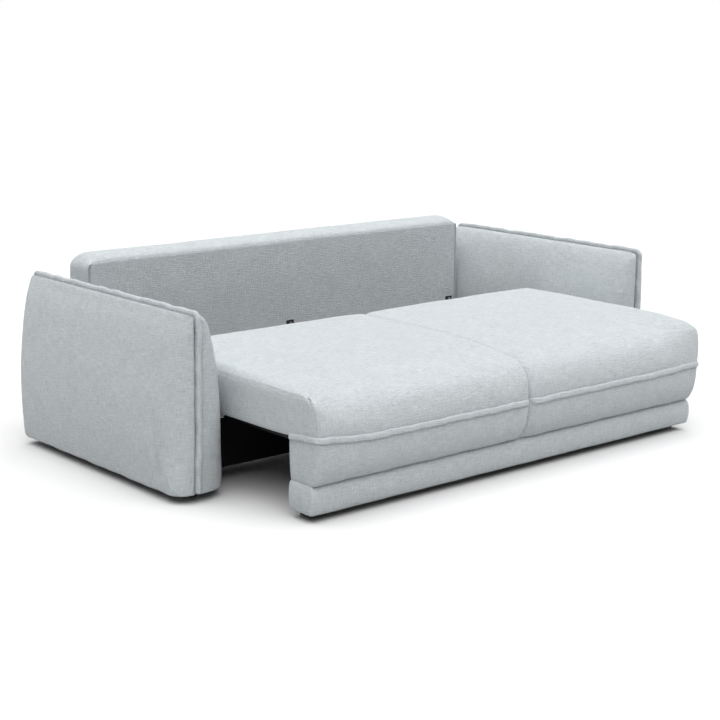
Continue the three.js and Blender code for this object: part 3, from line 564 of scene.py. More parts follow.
# How much of the crown is there close to each edge, from the front to the rear along the outer side.
SEAT_OUTER_SHARES = {1: (0.8, 0.95), -1: (0.16, 0.6)}
SEAT_END_SHARES = {1: 0.50, -1: 0.6}
# Each row is a distance from the front along the sofa's middle, and the share there on the right and on the left.
SEAT_MIDDLE_SHARES = [
    (0, -0.42, 0.30), (0.1, -0.36, 0.33), (0.2, -0.10, 0.38), (0.3, 0.26, 0.48), (0.4, 0.58, 0.62), (0.5, 0.68, 0.70),
    (0.97, 0.76, 0.76),
]
SEAT_REAR_SHARE = 0.9
# How far the seam under a cushion is drawn up at its outer front corner, by side, and how wide that reaches.
SEAM_LIFTS = {1: 0.008, -1: 0.0185}
SEAM_LIFT_REACH = 0.155
seat_edge = cushion_high.z - SEAT_CROWN
seat_side = seat_edge - cushion_low.z

# Each row is a height as a share of the cushion's side, and how far the front has drawn back as a share of its roll.
CUSHION_FRONT_SHARES = [
    (0, 0.06), (0.05, 0.03), (0.16, 0), (0.4, 0.04), (0.65, 0.18), (0.83, 0.41), (0.95, 0.70), (1, 1),
]
# Each row is a height as a share of the cushion's side, and the sides' draw-in as a share of the side roll.
CUSHION_SIDE_SHARES = [(0, 0.45), (0.07, 0.15), (0.4, 0), (0.78, 0.08), (0.9, 0.34), (1, 1)]
# How far in from each edge the top still rises, and how steeply: the shoulders' slow reaches and powers.
OUTER_SHOULDER = (0.34, 2.8)
FRONT_SHOULDER = (0.33, 2.5)
REAR_SHOULDER = (0.28, 2.2)
MIDDLE_SHOULDER = (0.25, 2.2)
MIDDLE_QUICK_SHARE = 0.42
TOP_UNEVENNESS = 0.0016
DART_DEPTH = 0.005
PIT_DEPTH = 0.006
CORNER_FOLD_DEPTH = 0.0011
NOTCH_FOLD_DEPTH = 0.0040
CUSHION_SLACK_DEPTH = 0.0007
CUSHION_SWELLING = 0.007


def seam_lift(x, y, sign):
    """How far the seam under a cushion is drawn up: a bell curve of the distance from the outer front corner."""
    away = np.hypot(cushion_high.x - x, y - cushion_low.y)
    return SEAM_LIFTS[sign] * groove(away, SEAM_LIFT_REACH)


def shoulder(distance, quick_share, quick_reach, slow_reach, power):
    """A filled top that rises quickly by a share of its height close to its seam, and slowly by the rest."""
    quick = swell(distance, quick_reach, 2.0)
    return quick_share * quick + (1 - quick_share) * swell(distance, slow_reach, power)


def seat_cushion(name, sign):
    """One seat cushion. Its plan is a rounded rectangle whose front draws back with height, less so at its outer end,
    and its top rises from the seams by the product of four shoulders, one from each edge. Under it is a pocket for the
    wooden deck. A dart and small folds mark its outer front corner, and folds its corner at the sofa's middle."""
    x0, x1 = cushion_low.x, cushion_high.x
    y0, y1 = cushion_low.y, cushion_high.y
    z0 = cushion_low.z
    width = x1 - x0
    front = smooth_path([(back, up * seat_side) for up, back in CUSHION_FRONT_SHARES], 26)
    skirt_x = timber_high.x + CLEAR - x0
    skirt_front = timber_low.y - CLEAR - y0
    skirt_rear = timber_high.y + CLEAR - y0
    a_lines = lines(width, 0.012, fine=(0, 0.03, skirt_x, width), fine_step=0.0035, reach=0.02)
    b_fine = (0, SEAT_DART, skirt_front, skirt_rear, y1 - y0)
    b_lines = lines(y1 - y0, 0.012, fine=b_fine, fine_step=0.0035, reach=0.016)
    (a, b, c), faces = block_skin(a_lines, b_lines, np.arange(len(front), dtype=float))
    level = c.astype(int)
    up_share = front[level, 1] / seat_side
    side = np.interp(up_share, *zip(*CUSHION_SIDE_SHARES)) * SEAT_SIDE_ROLL
    a_share, b_share = a / width, b / (y1 - y0)
    at_end = ease((a - width) / SEAT_END_REACH[sign] + 1)
    roll = SEAT_FRONT_ROLL + (SEAT_END_ROLLS[sign] - SEAT_FRONT_ROLL) * at_end
    x_range = (x0 + side * 0.5, x1 - side)
    y_range = (y0 + front[level, 0] * roll, y1 - side * 0.6)
    x = x_range[0] + a_share * (x_range[1] - x_range[0])
    y = y_range[0] + b_share * (y_range[1] - y_range[0])
    x = x - np.clip(2 * a_share - 1, 0, 1) * 4 * SEAT_SIDE_DRAW_IN * b_share * (1 - b_share)
    wide, deep = SEAT_MIDDLE_CORNERS[sign]
    middle_corner = (wide * (0.8 + 0.5 * up_share), deep * (0.8 + 0.2 * up_share))
    outer_corner = SEAT_CORNERS[sign] * (1 - 0.4 * up_share)
    radii = (middle_corner, outer_corner, SEAT_REAR_CORNER, SEAT_REAR_MIDDLE_CORNER)
    x, y = round_corners(x, y, x_range, y_range, radii)
    in_pocket = (a <= skirt_x + 1e-6) & (b >= skirt_front - 1e-6) & (b <= skirt_rear + 1e-6)
    foot = np.where(in_pocket, webbing_high.z + CLEAR, z0 + seam_lift(x, y, sign))
    outer_share = np.interp(b_share, (0, 1), SEAT_OUTER_SHARES[sign])
    from_front, right_shares, left_shares = zip(*SEAT_MIDDLE_SHARES)
    middle_share = np.interp(b, from_front, right_shares if sign > 0 else left_shares)
    rise = (
        shoulder(width - a, outer_share, 0.03, *OUTER_SHOULDER)
        * shoulder(b, SEAT_END_SHARES[sign] * at_end, SEAT_END_QUICK[sign], *FRONT_SHOULDER)
        * shoulder(y1 - y0 - b, SEAT_REAR_SHARE, 0.02, *REAR_SHOULDER)
        * (middle_share + (1 - middle_share) * shoulder(a, MIDDLE_QUICK_SHARE, 0.022, *MIDDLE_SHOULDER))
    )
    uneven = TOP_UNEVENNESS * unevenness(x, y, 0 * x, 0.25, 1.3 + sign)
    z = foot + up_share * (seat_edge + (SEAT_CROWN + uneven) * rise - foot)
    points = np.stack([x, y, z], 1)
    weave = flat_weave(points, faces, {"a": (1, 2), "b": (0, 2), "c": (0, 1)})
    weave["c1"][..., 1] = arc_places(points, faces["c1"], 1)
    weave["b0"][..., 1] = arc_places(points, faces["b0"], 1)
    weave["b0"][..., 1] -= weave["b0"][:, -1:, 1].copy()
    below = seat_edge - z
    on_side = (a > width - 0.002) & (b_share < 0.5)
    crease = groove(b - SEAT_DART, 0.006) * on_side * (below > -0.004)
    dart = crease * np.clip(1 - below / 0.05, 0.35, 1)
    pit = groove(np.hypot(b - SEAT_DART, below + 0.002) * (a > width - 0.02) + (a <= width - 0.02), 0.009) * (sign < 0)
    near_corner = np.exp(-np.hypot(a - width + 0.015, b) / 0.03)
    corner_folds = gathers(b - a, 0 * b, 0.014, 1, sign) + gathers(z + 0.3 * a, 0 * b, 0.011, 1, 2 * sign)
    corner_folds = corner_folds * near_corner * np.clip(1 - below / 0.2, 0, 1) * (below > 0)
    notch = np.exp(-np.hypot(a, b) / 0.06) * (1 if sign > 0 else 0.12)
    notch_folds = gathers(z + 0.35 * a, 0 * z, 0.016, 1, 3.1 + sign) * notch
    slack = gathers(a, below, 0.05, 0.06, 5 + sign) * (b < 0.05) * (below > 0) * ease(below / 0.03)
    depth = DART_DEPTH * dart + PIT_DEPTH * pit + CORNER_FOLD_DEPTH * corner_folds
    depth += NOTCH_FOLD_DEPTH * notch_folds + CUSHION_SLACK_DEPTH * slack
    from_sides = np.minimum(np.minimum(a, width - a), y1 - y0 - b)
    free = ease((z - foot - 0.02) / 0.08) * ease((from_sides - 0.004) / 0.07)
    return sewn(sided(name, points, faces, weave, sign), free, depth, CUSHION_SWELLING)


# Padded panels that wrap the front of the seat's box

DROP_ROLL = 0.047
DROP_SIDE_ROLL = 0.008
DROP_SCALLOP = 0.0018
DROP_FOLD_DEPTH = 0.0013
DROP_SLACK_DEPTH = 0.0008
DROP_SWELLING = 0.0025
PLINTH_ROLL = 0.0225
PLINTH_SIDE_ROLL = 0.009
PLINTH_SIDE_SWELL = 0.005
PLINTH_CORNER = 0.010
PLINTH_FOLD = 0.003
PLINTH_WAVE = 0.0014
# Each row is a height as a share of the panel, and how far it draws back there as a share of its roll.
DROP_SHARES = [(0, 1), (0.06, 0.74), (0.2, 0.42), (0.38, 0.19), (0.58, 0.06), (0.79, 0.01), (0.93, 0.03), (1, 0.12)]
PLINTH_SHARES = [(0, 0.55), (0.12, 0.24), (0.45, 0), (0.76, 0.10), (0.89, 0.36), (0.96, 0.68), (1, 1)]


def half_plan(x_start, x_side, y_front, y_end, start_radii, corner_radius, steps):
    """The outer plan of half a panel, at every height at once: a quarter oval off the middle, a straight front,
    a quarter circle round the corner, and a straight side. Returns x and y by column and height, and the column
    numbers where the corner begins and ends."""
    start_steps, front_steps, corner_steps, side_steps = steps
    columns = []
    turn = np.linspace(0, math.pi / 2, start_steps + 1)[:-1, None] if start_steps else np.zeros((0, 1))
    columns.append((x_start + start_radii[0] * (1 - np.cos(turn)), y_front + start_radii[1] * (1 - np.sin(turn))))
    share = np.linspace(0, 1, front_steps + 1)[:-1, None]
    front_from, front_to = x_start + start_radii[0], x_side - corner_radius
    columns.append((front_from + (front_to - front_from) * share, y_front + 0 * share))
    turn = np.linspace(0, math.pi / 2, corner_steps + 1)[:-1, None]
    columns.append((front_to + corner_radius * np.sin(turn), y_front + corner_radius * (1 - np.cos(turn))))
    share = np.linspace(0, 1, side_steps + 1)[:, None]
    side_from = y_front + corner_radius
    columns.append((x_side + 0 * share, side_from + (y_end - side_from) * share))
    levels = len(y_front)
    x, y = (np.concatenate([np.broadcast_to(part[k], (len(part[k]), levels)) for part in columns]) for k in (0, 1))
    corner_from = start_steps + front_steps
    return x, y, corner_from, corner_from + corner_steps


def along_timber(count, corner_from, corner_to, x_start, y_end):
    """The panel's inner plan: along the timber's front, round its sharp corner, and along its side."""
    turn_length = 0.008
    x_in, y_in = timber_high.x + CLEAR, timber_low.y - CLEAR
    middle = (corner_from + corner_to) // 2
    column = np.arange(count)
    x = np.interp(column, [0, corner_from, middle], [x_start, x_in - turn_length, x_in])
    y = np.interp(column, [middle, corner_to, count - 1], [y_in, y_in + turn_length, y_end])
    return x[:, None], y[:, None]


def panel(name, x, y, x_in, y_in, z, sign, bulge):
    """A thick cover from its outer and inner plans: points go in straight lines from one to the other."""
    depth = np.array([0, 0.12, 0.35, 0.7, 1])
    columns, levels = x.shape
    (a, b, c), faces = block_skin(np.arange(columns, dtype=float), depth, np.arange(levels, dtype=float))
    column, level = a.astype(int), c.astype(int)
    inner_x = np.broadcast_to(x_in, x.shape)[column, level]
    inner_y = np.broadcast_to(y_in, x.shape)[column, level]
    px = x[column, level] * (1 - b) + inner_x * b
    py = y[column, level] * (1 - b) + inner_y * b
    pz = z[level] + bulge(px, py, level / (levels - 1)) * (1 - b)
    points = np.stack([px, py, pz], 1)
    weave = flat_weave(points, faces, {"a": (1, 2), "b": (0, 2), "c": (0, 1)})
    weave["b0"] = np.stack([arc_places(points, faces["b0"], 0), arc_places(points, faces["b0"], 1)], -1)
    return sided(name, points, faces, weave, sign)


def front_drop(name, sign):
    """The padded drop below one seat cushion. Its front draws back towards its foot, its upper edge follows the drawn
    up seam, and its lower edge is faintly scalloped. Small folds run down from the seam and round its outer corner."""
    height = drop_high.z - drop_low.z
    profile = smooth_path([(back * DROP_ROLL, up * height) for up, back in DROP_SHARES], 22)
    back = profile[:, 0] / DROP_ROLL
    y_front = drop_low.y + profile[:, 0]
    x_side = drop_high.x - DROP_SIDE_ROLL * back
    room = timber_low.y - CLEAR - y_front
    low = 1 - profile[:, 1] / height
    wide, deep = (0.8 * radius + (0.012 if sign > 0 else 0.03) * low**2 for radius in SEAT_MIDDLE_CORNERS[sign])
    start_radii = (wide, np.minimum(deep, room * 0.92))
    corner_radius = SEAT_CORNERS[sign] * (1 - 0.75 * back)
    x, y, corner_from, corner_to = half_plan(
        drop_low.x, x_side, y_front, drop_high.y, start_radii, corner_radius, (12, 76, 14, 10)
    )
    x_in, y_in = along_timber(len(x), corner_from, corner_to, drop_low.x, drop_high.y)

    def edges(px, py, up):
        """The scallops of the lower edge and the rise of the upper one."""
        low = (1 - up) ** 3
        return low * DROP_SCALLOP * np.sin(px * 41 + sign) * np.sin(px * 17) + up**1.5 * seam_lift(px, py, sign)

    piece = panel(name, x, y, x_in, y_in, drop_low.z + profile[:, 1], sign, edges)
    places = points_of(piece.data)
    px, py, pz = np.abs(places[:, 0]), places[:, 1], places[:, 2]
    from_top = drop_high.z - pz
    outside = (py < drop_low.y + 0.06) | (px > drop_high.x - 0.012)
    near_corner = np.exp(-np.hypot(px - drop_high.x, py - drop_low.y) / 0.04)
    folds = gathers(px - py, 0 * px, 0.016, 1, 2 + sign) * near_corner
    slack = gathers(px, from_top, 0.037, 0.05, 4.4 + sign) * ease(from_top / 0.02)
    within = (px <= timber_high.x + 0.001) & (py >= timber_low.y - 0.001)
    free = ease(from_top / 0.03) * ease((pz - drop_low.z) / 0.03) * ease(px / 0.04) * ease((drop_high.y - py) / 0.03)
    return sewn(piece, free * ~within, outside * (DROP_FOLD_DEPTH * folds + DROP_SLACK_DEPTH * slack), DROP_SWELLING)


def plinth_cover(name):
    """The padded plinth below the drops, over the full width: a panel with rolled edges and a faint fold at its
    middle. The left half's plan mirrors the right half's."""
    height = plinth_high.z - plinth_low.z
    profile = smooth_path([(back * PLINTH_ROLL, up * height) for up, back in PLINTH_SHARES], 18)
    back = profile[:, 0] / PLINTH_ROLL
    y_front = plinth_low.y + profile[:, 0]
    x_side = plinth_high.x + PLINTH_SIDE_SWELL - PLINTH_SIDE_ROLL * back
    corner_radius = PLINTH_CORNER * (1 - 0.5 * back)
    none = np.zeros_like(back)
    x, y, corner_from, corner_to = half_plan(
        0, x_side, y_front, plinth_high.y, (none, none), corner_radius, (0, 76, 10, 10)
    )
    x_in, y_in = along_timber(len(x), corner_from, corner_to, 0, plinth_high.y)
    y = y + PLINTH_FOLD * groove(x, 0.004)
    full = [np.concatenate([side * plan[:0:-1], plan]) for plan, side in ((x, -1), (y, 1), (x_in, -1), (y_in, 1))]

    def wavy(px, py, up):
        """A long wave along the plinth that moves its upper and lower edges opposite ways."""
        return (PLINTH_WAVE * np.sin(px * 23) * np.sin(px * 9.7 + 1)) * (up - 0.5)

    return panel(name, *full, plinth_low.z + profile[:, 1], 1, wavy)


# The flat piping between cushions and drops

PIPING_DEPTH = 0.0075
PIPING_LENGTH = 1.2
PIPING_LEAN = 0.0015


def seat_piping(name, sign):
    """A folded strip sewn between a cushion and its drop: a flat band whose section is a squared oval, carried along
    the cushion's plan. Its inner end turns into the notch between the cushions."""
    middle = (piping_low.z + piping_high.z) / 2
    half_height = (piping_high.z - piping_low.z) / 2
    y_front = np.array([piping_low.y + PIPING_DEPTH])
    x_side = np.array([piping_high.x - PIPING_DEPTH + 0.0015])
    radius = np.array([SEAT_CORNERS[sign]])
    start = [np.array([max(0.8 * radius, 0.009)]) for radius in SEAT_MIDDLE_CORNERS[sign]]
    x, y, *_ = half_plan(piping_low.x + PIPING_DEPTH, x_side, y_front, piping_high.y, start, radius, (10, 110, 18, 10))
    plan = even_steps(np.stack([x[:, 0], y[:, 0]], 1), 190)
    ahead = np.gradient(plan, axis=0)
    ahead /= np.linalg.norm(ahead, axis=1)[:, None]
    out = np.stack([ahead[:, 1], -ahead[:, 0], 0 * ahead[:, 0]], 1)
    along = np.linspace(0, 1, len(plan)) * PIPING_LENGTH
    droop = 0.0016 * np.sin(along * 31 + sign) * np.sin(along * 11) + 0.0008 * np.sin(along * 90)
    droop += seam_lift(plan[:, 0], plan[:, 1], sign)
    turn = (np.arange(20) + 0.5) / 20 * 2 * math.pi
    high = np.sign(np.cos(turn)) * np.abs(np.cos(turn)) ** 0.6 * half_height
    thick = np.sign(np.sin(turn)) * np.abs(np.sin(turn)) ** 0.8 * PIPING_DEPTH
    lean = PIPING_LEAN * (1 - (high / half_height + 1) / 2)
    path = np.stack([plan[:, 0], plan[:, 1], middle + droop], 1)
    return swept(name, path, along, (0, 0, 1.0), out, np.stack([high, thick + lean], 1), sign)


# Arms

welt_plane = (welt_low.x + welt_high.x) / 2
arm_foot = outer_low.z
ARM_FRONT = -0.326
ARM_FRONT_LEAN = 0.016
ARM_FRONT_CROWN = 0.006
ARM_REAR = 0.804
ARM_REAR_CROWN = 0.006
ARM_CROWN_POWER = 2.5
ARM_CORNERS = {1: 0.010, -1: 0.028}
ARM_FOOT_CORNER = 0.004
# How much squarer the front is at the foot than higher up, as a share, outside and inside the welt.
ARM_FOOT_SQUARE = {1: 0.5, -1: 0.25}
WELT_CORNER = 0.033

# Each row is a depth from the welt as a share of the pad's depth, and a height as a share of the arm's.
OUTER_PAD_HEIGHTS = [
    (0.84, 0), (0.905, 0.014), (0.94, 0.04), (0.962, 0.09), (1, 0.25), (0.985, 0.4), (0.925, 0.51), (0.80, 0.65),
    (0.66, 0.765), (0.49, 0.865), (0.33, 0.925), (0.22, 0.962), (0.165, 0.975), (0.14, 0.9765), (0.12, 0.973),
    (0.105, 0.966), (0.04, 0.962),
]
INNER_PAD_HEIGHTS = [
    (0.93, 0), (0.965, 0.02), (0.985, 0.05), (1, 0.12), (1, 0.36), (0.955, 0.51), (0.86, 0.64), (0.72, 0.76),
    (0.53, 0.87), (0.42, 0.918), (0.31, 0.952), (0.22, 0.970), (0.15, 0.978), (0.11, 0.977), (0.09, 0.971),
    (0.07, 0.958), (0.02, 0.954),
]
# Each row is a depth from the welt as a share of the pad's depth, and a distance behind the welt's crest.
OUTER_PAD_FRONTS = [
    (0.04, 0.027), (0.105, 0.024), (0.118, 0.0195), (0.145, 0.0165), (0.22, 0.0155), (0.32, 0.018), (0.45, 0.025),
    (0.62, 0.041), (0.78, 0.063), (0.90, 0.088), (0.97, 0.112), (1, 0.15),
]
INNER_PAD_FRONTS = [
    (0.02, 0.027), (0.066, 0.024), (0.076, 0.019), (0.10, 0.015), (0.15, 0.0128), (0.25, 0.0124), (0.35, 0.0150),
    (0.55, 0.024), (0.72, 0.041), (0.86, 0.065), (0.95, 0.093), (1, 0.14),
]
# The same at the arm's rear, ahead of the welt's crest there.
OUTER_PAD_REARS = [
    (0.04, 0.027), (0.105, 0.024), (0.118, 0.0195), (0.145, 0.0150), (0.25, 0.0115), (0.5, 0.0105), (0.75, 0.0135),
    (0.9, 0.0195), (0.97, 0.030), (1, 0.055),
]
INNER_PAD_REARS = [
    (0.02, 0.027), (0.066, 0.024), (0.076, 0.019), (0.10, 0.0145), (0.2, 0.0105), (0.5, 0.0100), (0.75, 0.0130),
    (0.9, 0.0200), (0.97, 0.032), (1, 0.06),
]
# Where the outer side turns into the front: each row is a height share and how far behind the crest the soft fold
# lies there.
ARM_FOLD_ROWS = [
    (0, 0.116), (0.13, 0.138), (0.28, 0.168), (0.5, 0.186), (0.61, 0.176), (0.75, 0.152), (0.85, 0.112), (0.95, 0.05),
]
ARM_FOLD_DEPTH = 0.010
ARM_FOLD_WIDTH = 0.022
ARM_GATHER_DEPTH = 0.0009
ARM_DIMPLE_DEPTH = 0.0045
ARM_HEM_WAVE = 0.0022
ARM_SWELLING = 0.004
# The timber frame is deep up to its step and thinner above it. Each pair is how far the two parts reach from the
# welt's plane, with room round them, outside and inside the welt.
ARM_FRAME_STEP = 0.5
ARM_HOLLOWS = {1: (0.0505, 0.0378), -1: (0.1075, 0.0378)}


def arm_ends(up):
    """Where the welt's crest lies in front and behind at a height share: each end leans and bows by one less a
    power of the distance from the middle height."""
    bow = 1 - np.abs(2 * up - 1) ** ARM_CROWN_POWER
    return ARM_FRONT - ARM_FRONT_LEAN * up - ARM_FRONT_CROWN * bow, ARM_REAR + ARM_REAR_CROWN * bow


def arm_pad(name, sign, outward, depth, height_rows, front_rows, rear_rows, power):
    """Half an arm's padding, as a thick cover that grows out of the welt's plane. Tables give the depth's share up
    the arm and along it, and the two join as the inverse root of the sum of their inverse powers less one.
    The hidden face is an even grid, and two hollows in it stand clear of the timber frame."""
    height = welt_high.z - arm_foot
    up_rows = smooth_path([(share * depth, up * height) for share, up in height_rows], 76)
    starts = smooth_path([(share * depth, back) for share, back in front_rows], 30)
    ends = smooth_path([(share * depth, back) for share, back in rear_rows], 20)[::-1]
    straight = np.linspace(0, 1, 66)[1:-1]
    along_share = np.concatenate([starts[:, 0], 0 * straight + depth, ends[:, 0]]) / depth
    reaches = starts[-1, 1] * (1 - straight) - ends[0, 1] * straight
    offset = np.concatenate([starts[:, 1], reaches, -ends[:, 1]])
    turned = np.maximum(starts[:, 1] - starts[:, 1].min(), 0) * (np.arange(len(starts)) > starts[:, 1].argmin())
    turned = np.concatenate([turned, turned[-1] * (1 - straight), 0 * ends[:, 1]])
    blend = np.concatenate([0 * starts[:, 1], straight, 0 * ends[:, 1] + 1])
    (a, b, c), faces = block_skin(
        np.arange(len(offset), dtype=float), np.arange(len(up_rows), dtype=float), np.array([0.0, 1.0])
    )
    s, t = a.astype(int), b.astype(int)
    up = up_rows[t, 1] / height
    front, rear = arm_ends(up)
    y = front + blend[s] * (rear - front) + offset[s] - turned[s] * ARM_FOOT_SQUARE[outward] * (1 - ease(up / 0.3))
    z = arm_foot + up_rows[t, 1]
    rim = front_rows[0][1]
    y_range = (front + starts[:, 1].min(), rear - ends[:, 1].min())
    z_range = (arm_foot, arm_foot + up_rows[:, 1].max())
    corner = ARM_CORNERS[outward]
    y, z = round_corners(y, z, y_range, z_range, (ARM_FOOT_CORNER, ARM_FOOT_CORNER, corner, corner))
    share = (along_share[s] ** -power + (depth / up_rows[t, 0]) ** power - 1) ** (-1 / power)
    soft = depth * share * (1 + 0.012 * unevenness(y, z, 0 * y, 0.22, 2.1 + sign + outward))
    even_up = t / t.max() * up_rows[-1, 1] / height
    even_starts = np.linspace(starts[0, 1], starts[-1, 1], len(starts))
    even_ends = np.linspace(ends[0, 1], ends[-1, 1], len(ends))
    even_front, even_rear = arm_ends(even_up)
    y_back = even_front + blend[s] * (even_rear - even_front) + np.concatenate([even_starts, reaches, -even_ends])[s]
    z_back = arm_foot + even_up * height
    hollow = CLEAR + 0 * y
    for top, deep in zip((ARM_FRAME_STEP, arm_frame_high.z), ARM_HOLLOWS[outward]):
        inside = (y_back > arm_frame_low.y - 0.018) & (y_back < arm_frame_high.y + 0.018) & (z_back < top + 0.007)
        hollow = np.where(inside, np.maximum(hollow, np.minimum(deep, 0.9 * soft)), hollow)
    if outward > 0:
        upright = ease(up / 0.12) * ease((0.9 - up) / 0.3)
        fold = np.interp(up, *zip(*ARM_FOLD_ROWS))
        soft -= ARM_FOLD_DEPTH * groove(y - front - fold, ARM_FOLD_WIDTH) * upright
    hem = ARM_HEM_WAVE * np.sin(y * 37 + sign) * np.sin(y * 13 + outward) * np.exp(-(z - arm_foot) / 0.015)
    seen = c > 0.5
    x = welt_plane + outward * np.where(seen, soft, hollow)
    points = np.stack([x, np.where(seen, y, y_back), np.where(seen, z, z_back) + hem], 1)
    weave = flat_weave(points, faces, {"a": (0, 2), "b": (0, 1), "c": (1, 2)})
    weave["c1"] = np.stack([arc_places(points, faces["c1"], 0), arc_places(points, faces["c1"], 1)], -1)
    piece = sided(name, points, faces, weave, sign)
    top = z_range[1]
    from_seam = np.minimum(y - front - rim, top - z)
    along = np.where(top - z < y - front - rim, y, -z)
    drawn = gathers(along, from_seam - 0.012, 0.042, 0.022, 1.9 + outward + sign)
    dimple = groove(np.hypot(y - front - rim - 0.010, top - z - 0.016), 0.013)
    free = seen * ease(np.minimum(from_seam, rear - rim - y) / 0.04) * ease((z - arm_foot) / 0.03)
    return sewn(piece, free, seen * (ARM_GATHER_DEPTH * drawn + ARM_DIMPLE_DEPTH * dimple), ARM_SWELLING)


def arm_outer_pad(name, sign):
    """The padding outside the welt."""
    depth = outer_high.x - welt_plane
    return arm_pad(name, sign, 1, depth, OUTER_PAD_HEIGHTS, OUTER_PAD_FRONTS, OUTER_PAD_REARS, 1.8)


def arm_inner_pad(name, sign):
    """The padding inside the welt, towards the seat."""
    depth = welt_plane - inner_low.x
    return arm_pad(name, sign, -1, depth, INNER_PAD_HEIGHTS, INNER_PAD_FRONTS, INNER_PAD_REARS, 1.1)


def arm_path(count, corner):
    """The welt's crest from foot to foot, up the front, along the top and down the rear, as rows of y and z, with the
    outward direction of each row."""
    height = welt_high.z - arm_foot - 0.001
    up = np.linspace(0, 1, 60)
    front, rear = arm_ends(up)
    half = np.linspace(0, 1, 90)
    y = np.concatenate([front, front[-1] + (rear[-1] - front[-1]) * half[1:-1], rear[::-1]])
    z = arm_foot + 0.009 + (height - 0.009) * np.concatenate([up, 0 * half[1:-1] + 1, up[::-1]])
    y_range = (front[-1], rear[-1])
    y_bent, z_bent = round_corners(
        np.clip(y, *y_range), z, y_range, (arm_foot, arm_foot + height), (0, 0, corner, corner)
    )
    path = even_steps(np.stack([y_bent + y - np.clip(y, *y_range), z_bent], 1), count)
    ahead = np.gradient(path, axis=0)
    ahead /= np.linalg.norm(ahead, axis=1)[:, None]
    return path, np.stack([0 * ahead[:, 0], -ahead[:, 1], ahead[:, 0]], 1)


def welt_sway(along, sign):
    """How the welt wavers sideways and rises along its length, in sums of sines."""
    waver = 0.0020 * np.sin(along * 27 + sign) * np.sin(along * 8.3) + 0.0009 * np.sin(along * 74)
    rise = 0.0014 * np.sin(along * 33 + 2 * sign) * np.sin(along * 10) + 0.0010 * np.sin(along * 61)
    return waver, rise


WELT_LENGTH = 2.4
WELT_TALL = 0.032
WELT_PUCKER_DEPTH = 0.0007


def arm_welt(name, sign):
    """The flanged welt: a rounded band carried up the arm's front, along its top and down its rear. Its crest follows
    the arm's ends, and the band wavers and puckers by a millimetre or two."""
    path, out = arm_path(420, WELT_CORNER)
    along = np.linspace(0, 1, len(path)) * WELT_LENGTH
    waver, rise = welt_sway(along, sign)
    turn = (np.arange(24) + 0.5) / 24 * 2 * math.pi
    half_width = (welt_high.x - welt_low.x) / 2
    wide = np.sign(np.sin(turn)) * np.abs(np.sin(turn)) ** 0.7 * half_width
    tall = (np.sign(np.cos(turn)) * np.abs(np.cos(turn)) ** 0.8 - 0.95) * WELT_TALL / 2
    rows = np.stack([welt_plane + waver, path[:, 0], path[:, 1]], 1) + rise[:, None] * out
    piece = swept(name, rows, run_of(rows), (1.0, 0, 0), out, np.stack([wide, tall], 1), sign)
    puckers = gathers(along, 0 * along, 0.021, 1, 2.2 + sign)[:, None] * (0.5 + 0.5 * np.abs(np.sin(turn)))
    return press(piece, WELT_PUCKER_DEPTH * puckers.ravel())


STITCH_PITCH = 0.0085
STITCH_LENGTH = 0.0056
STITCH_THICK = 0.0017
STITCH_DEPTH = 0.0125


def arm_stitches(name, sign):
    """The topstitching on both sides of the welt: short rods at an even pitch. Each rod has four rings of six points:
    a point is the rod's middle, plus a share of its length ahead, plus its ring's place round it, and the end rings
    are small and sink into the cloth."""
    count = int(WELT_LENGTH / STITCH_PITCH)
    path, out = arm_path(count, WELT_CORNER)
    waver, rise = welt_sway(np.linspace(0, 1, count) * WELT_LENGTH, sign)
    ahead = np.stack([0 * waver, out[:, 2], -out[:, 1]], 1)
    turn = np.arange(6) / 6 * 2 * math.pi
    lengths = np.repeat([-0.5, -0.34, 0.34, 0.5], 6) * STITCH_LENGTH
    thicks = np.repeat([0.25, 1, 1, 0.25], 6) * STITCH_THICK / 2
    sinks = np.repeat([1, 0, 0, 1], 6) * STITCH_THICK * 0.6
    across = np.cos(np.tile(turn, 4)) * thicks - sinks
    upward = np.sin(np.tile(turn, 4)) * thicks
    low = np.arange(18)
    high = low // 6 * 6 + (low + 1) % 6
    ends = np.array([[5, 4, 1, 0], [4, 3, 2, 1]])
    rod_faces = np.concatenate([np.stack([low, high, high + 6, low + 6], 1), ends, ends[:, ::-1] + 18])
    quads = (np.arange(count)[:, None, None] * 24 + rod_faces).reshape(-1, 4)
    points = []
    for side in (-1, 1):
        middle = np.stack([welt_plane + waver + side * (welt_high.x - welt_low.x) / 2, path[:, 0], path[:, 1]], 1)
        middle += (rise - STITCH_DEPTH)[:, None] * out
        rods = middle[:, None] + lengths[None, :, None] * ahead[:, None] + upward[None, :, None] * out[:, None]
        points.append((rods + side * across[None, :, None] * np.array([1.0, 0, 0])).reshape(-1, 3))
    points = np.concatenate(points) * (sign, 1, 1)
    quads = np.concatenate([quads[:, ::-1], quads + count * 24])
    piece = mesh_piece(name, points, quads, points[quads][..., 1:])
    piece.data.materials.append(THREAD)
    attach(piece, BASE)


# Backrest

BACK_SHOULDERS = (0.716, 0.712)
BACK_CORNERS = (0.006, 0.009)
BACK_END_REACH = 0.055
BACK_CROWN_PROUD = 0.004
BACK_SEAM_PLACE = 0.009
BACK_SEAM_WIDTH = 0.0045
BACK_SEAM_DEPTH = 0.016
# Each row is a depth as a share of the backrest's, and the top's rise there as a share of its crown.
BACK_CROWN_SHARES = [(0, 0), (0.05, 0.42), (0.2, 0.8), (0.45, 1), (0.75, 0.97), (0.93, 0.78), (0.985, 0.45), (1, 0.2)]
# Each row is a distance below the shoulder, and the ends' draw-in there.
BACK_END_ROWS = [(0, 0.008), (0.006, 0.0045), (0.013, 0.002), (0.024, 0), (0.7, 0)]


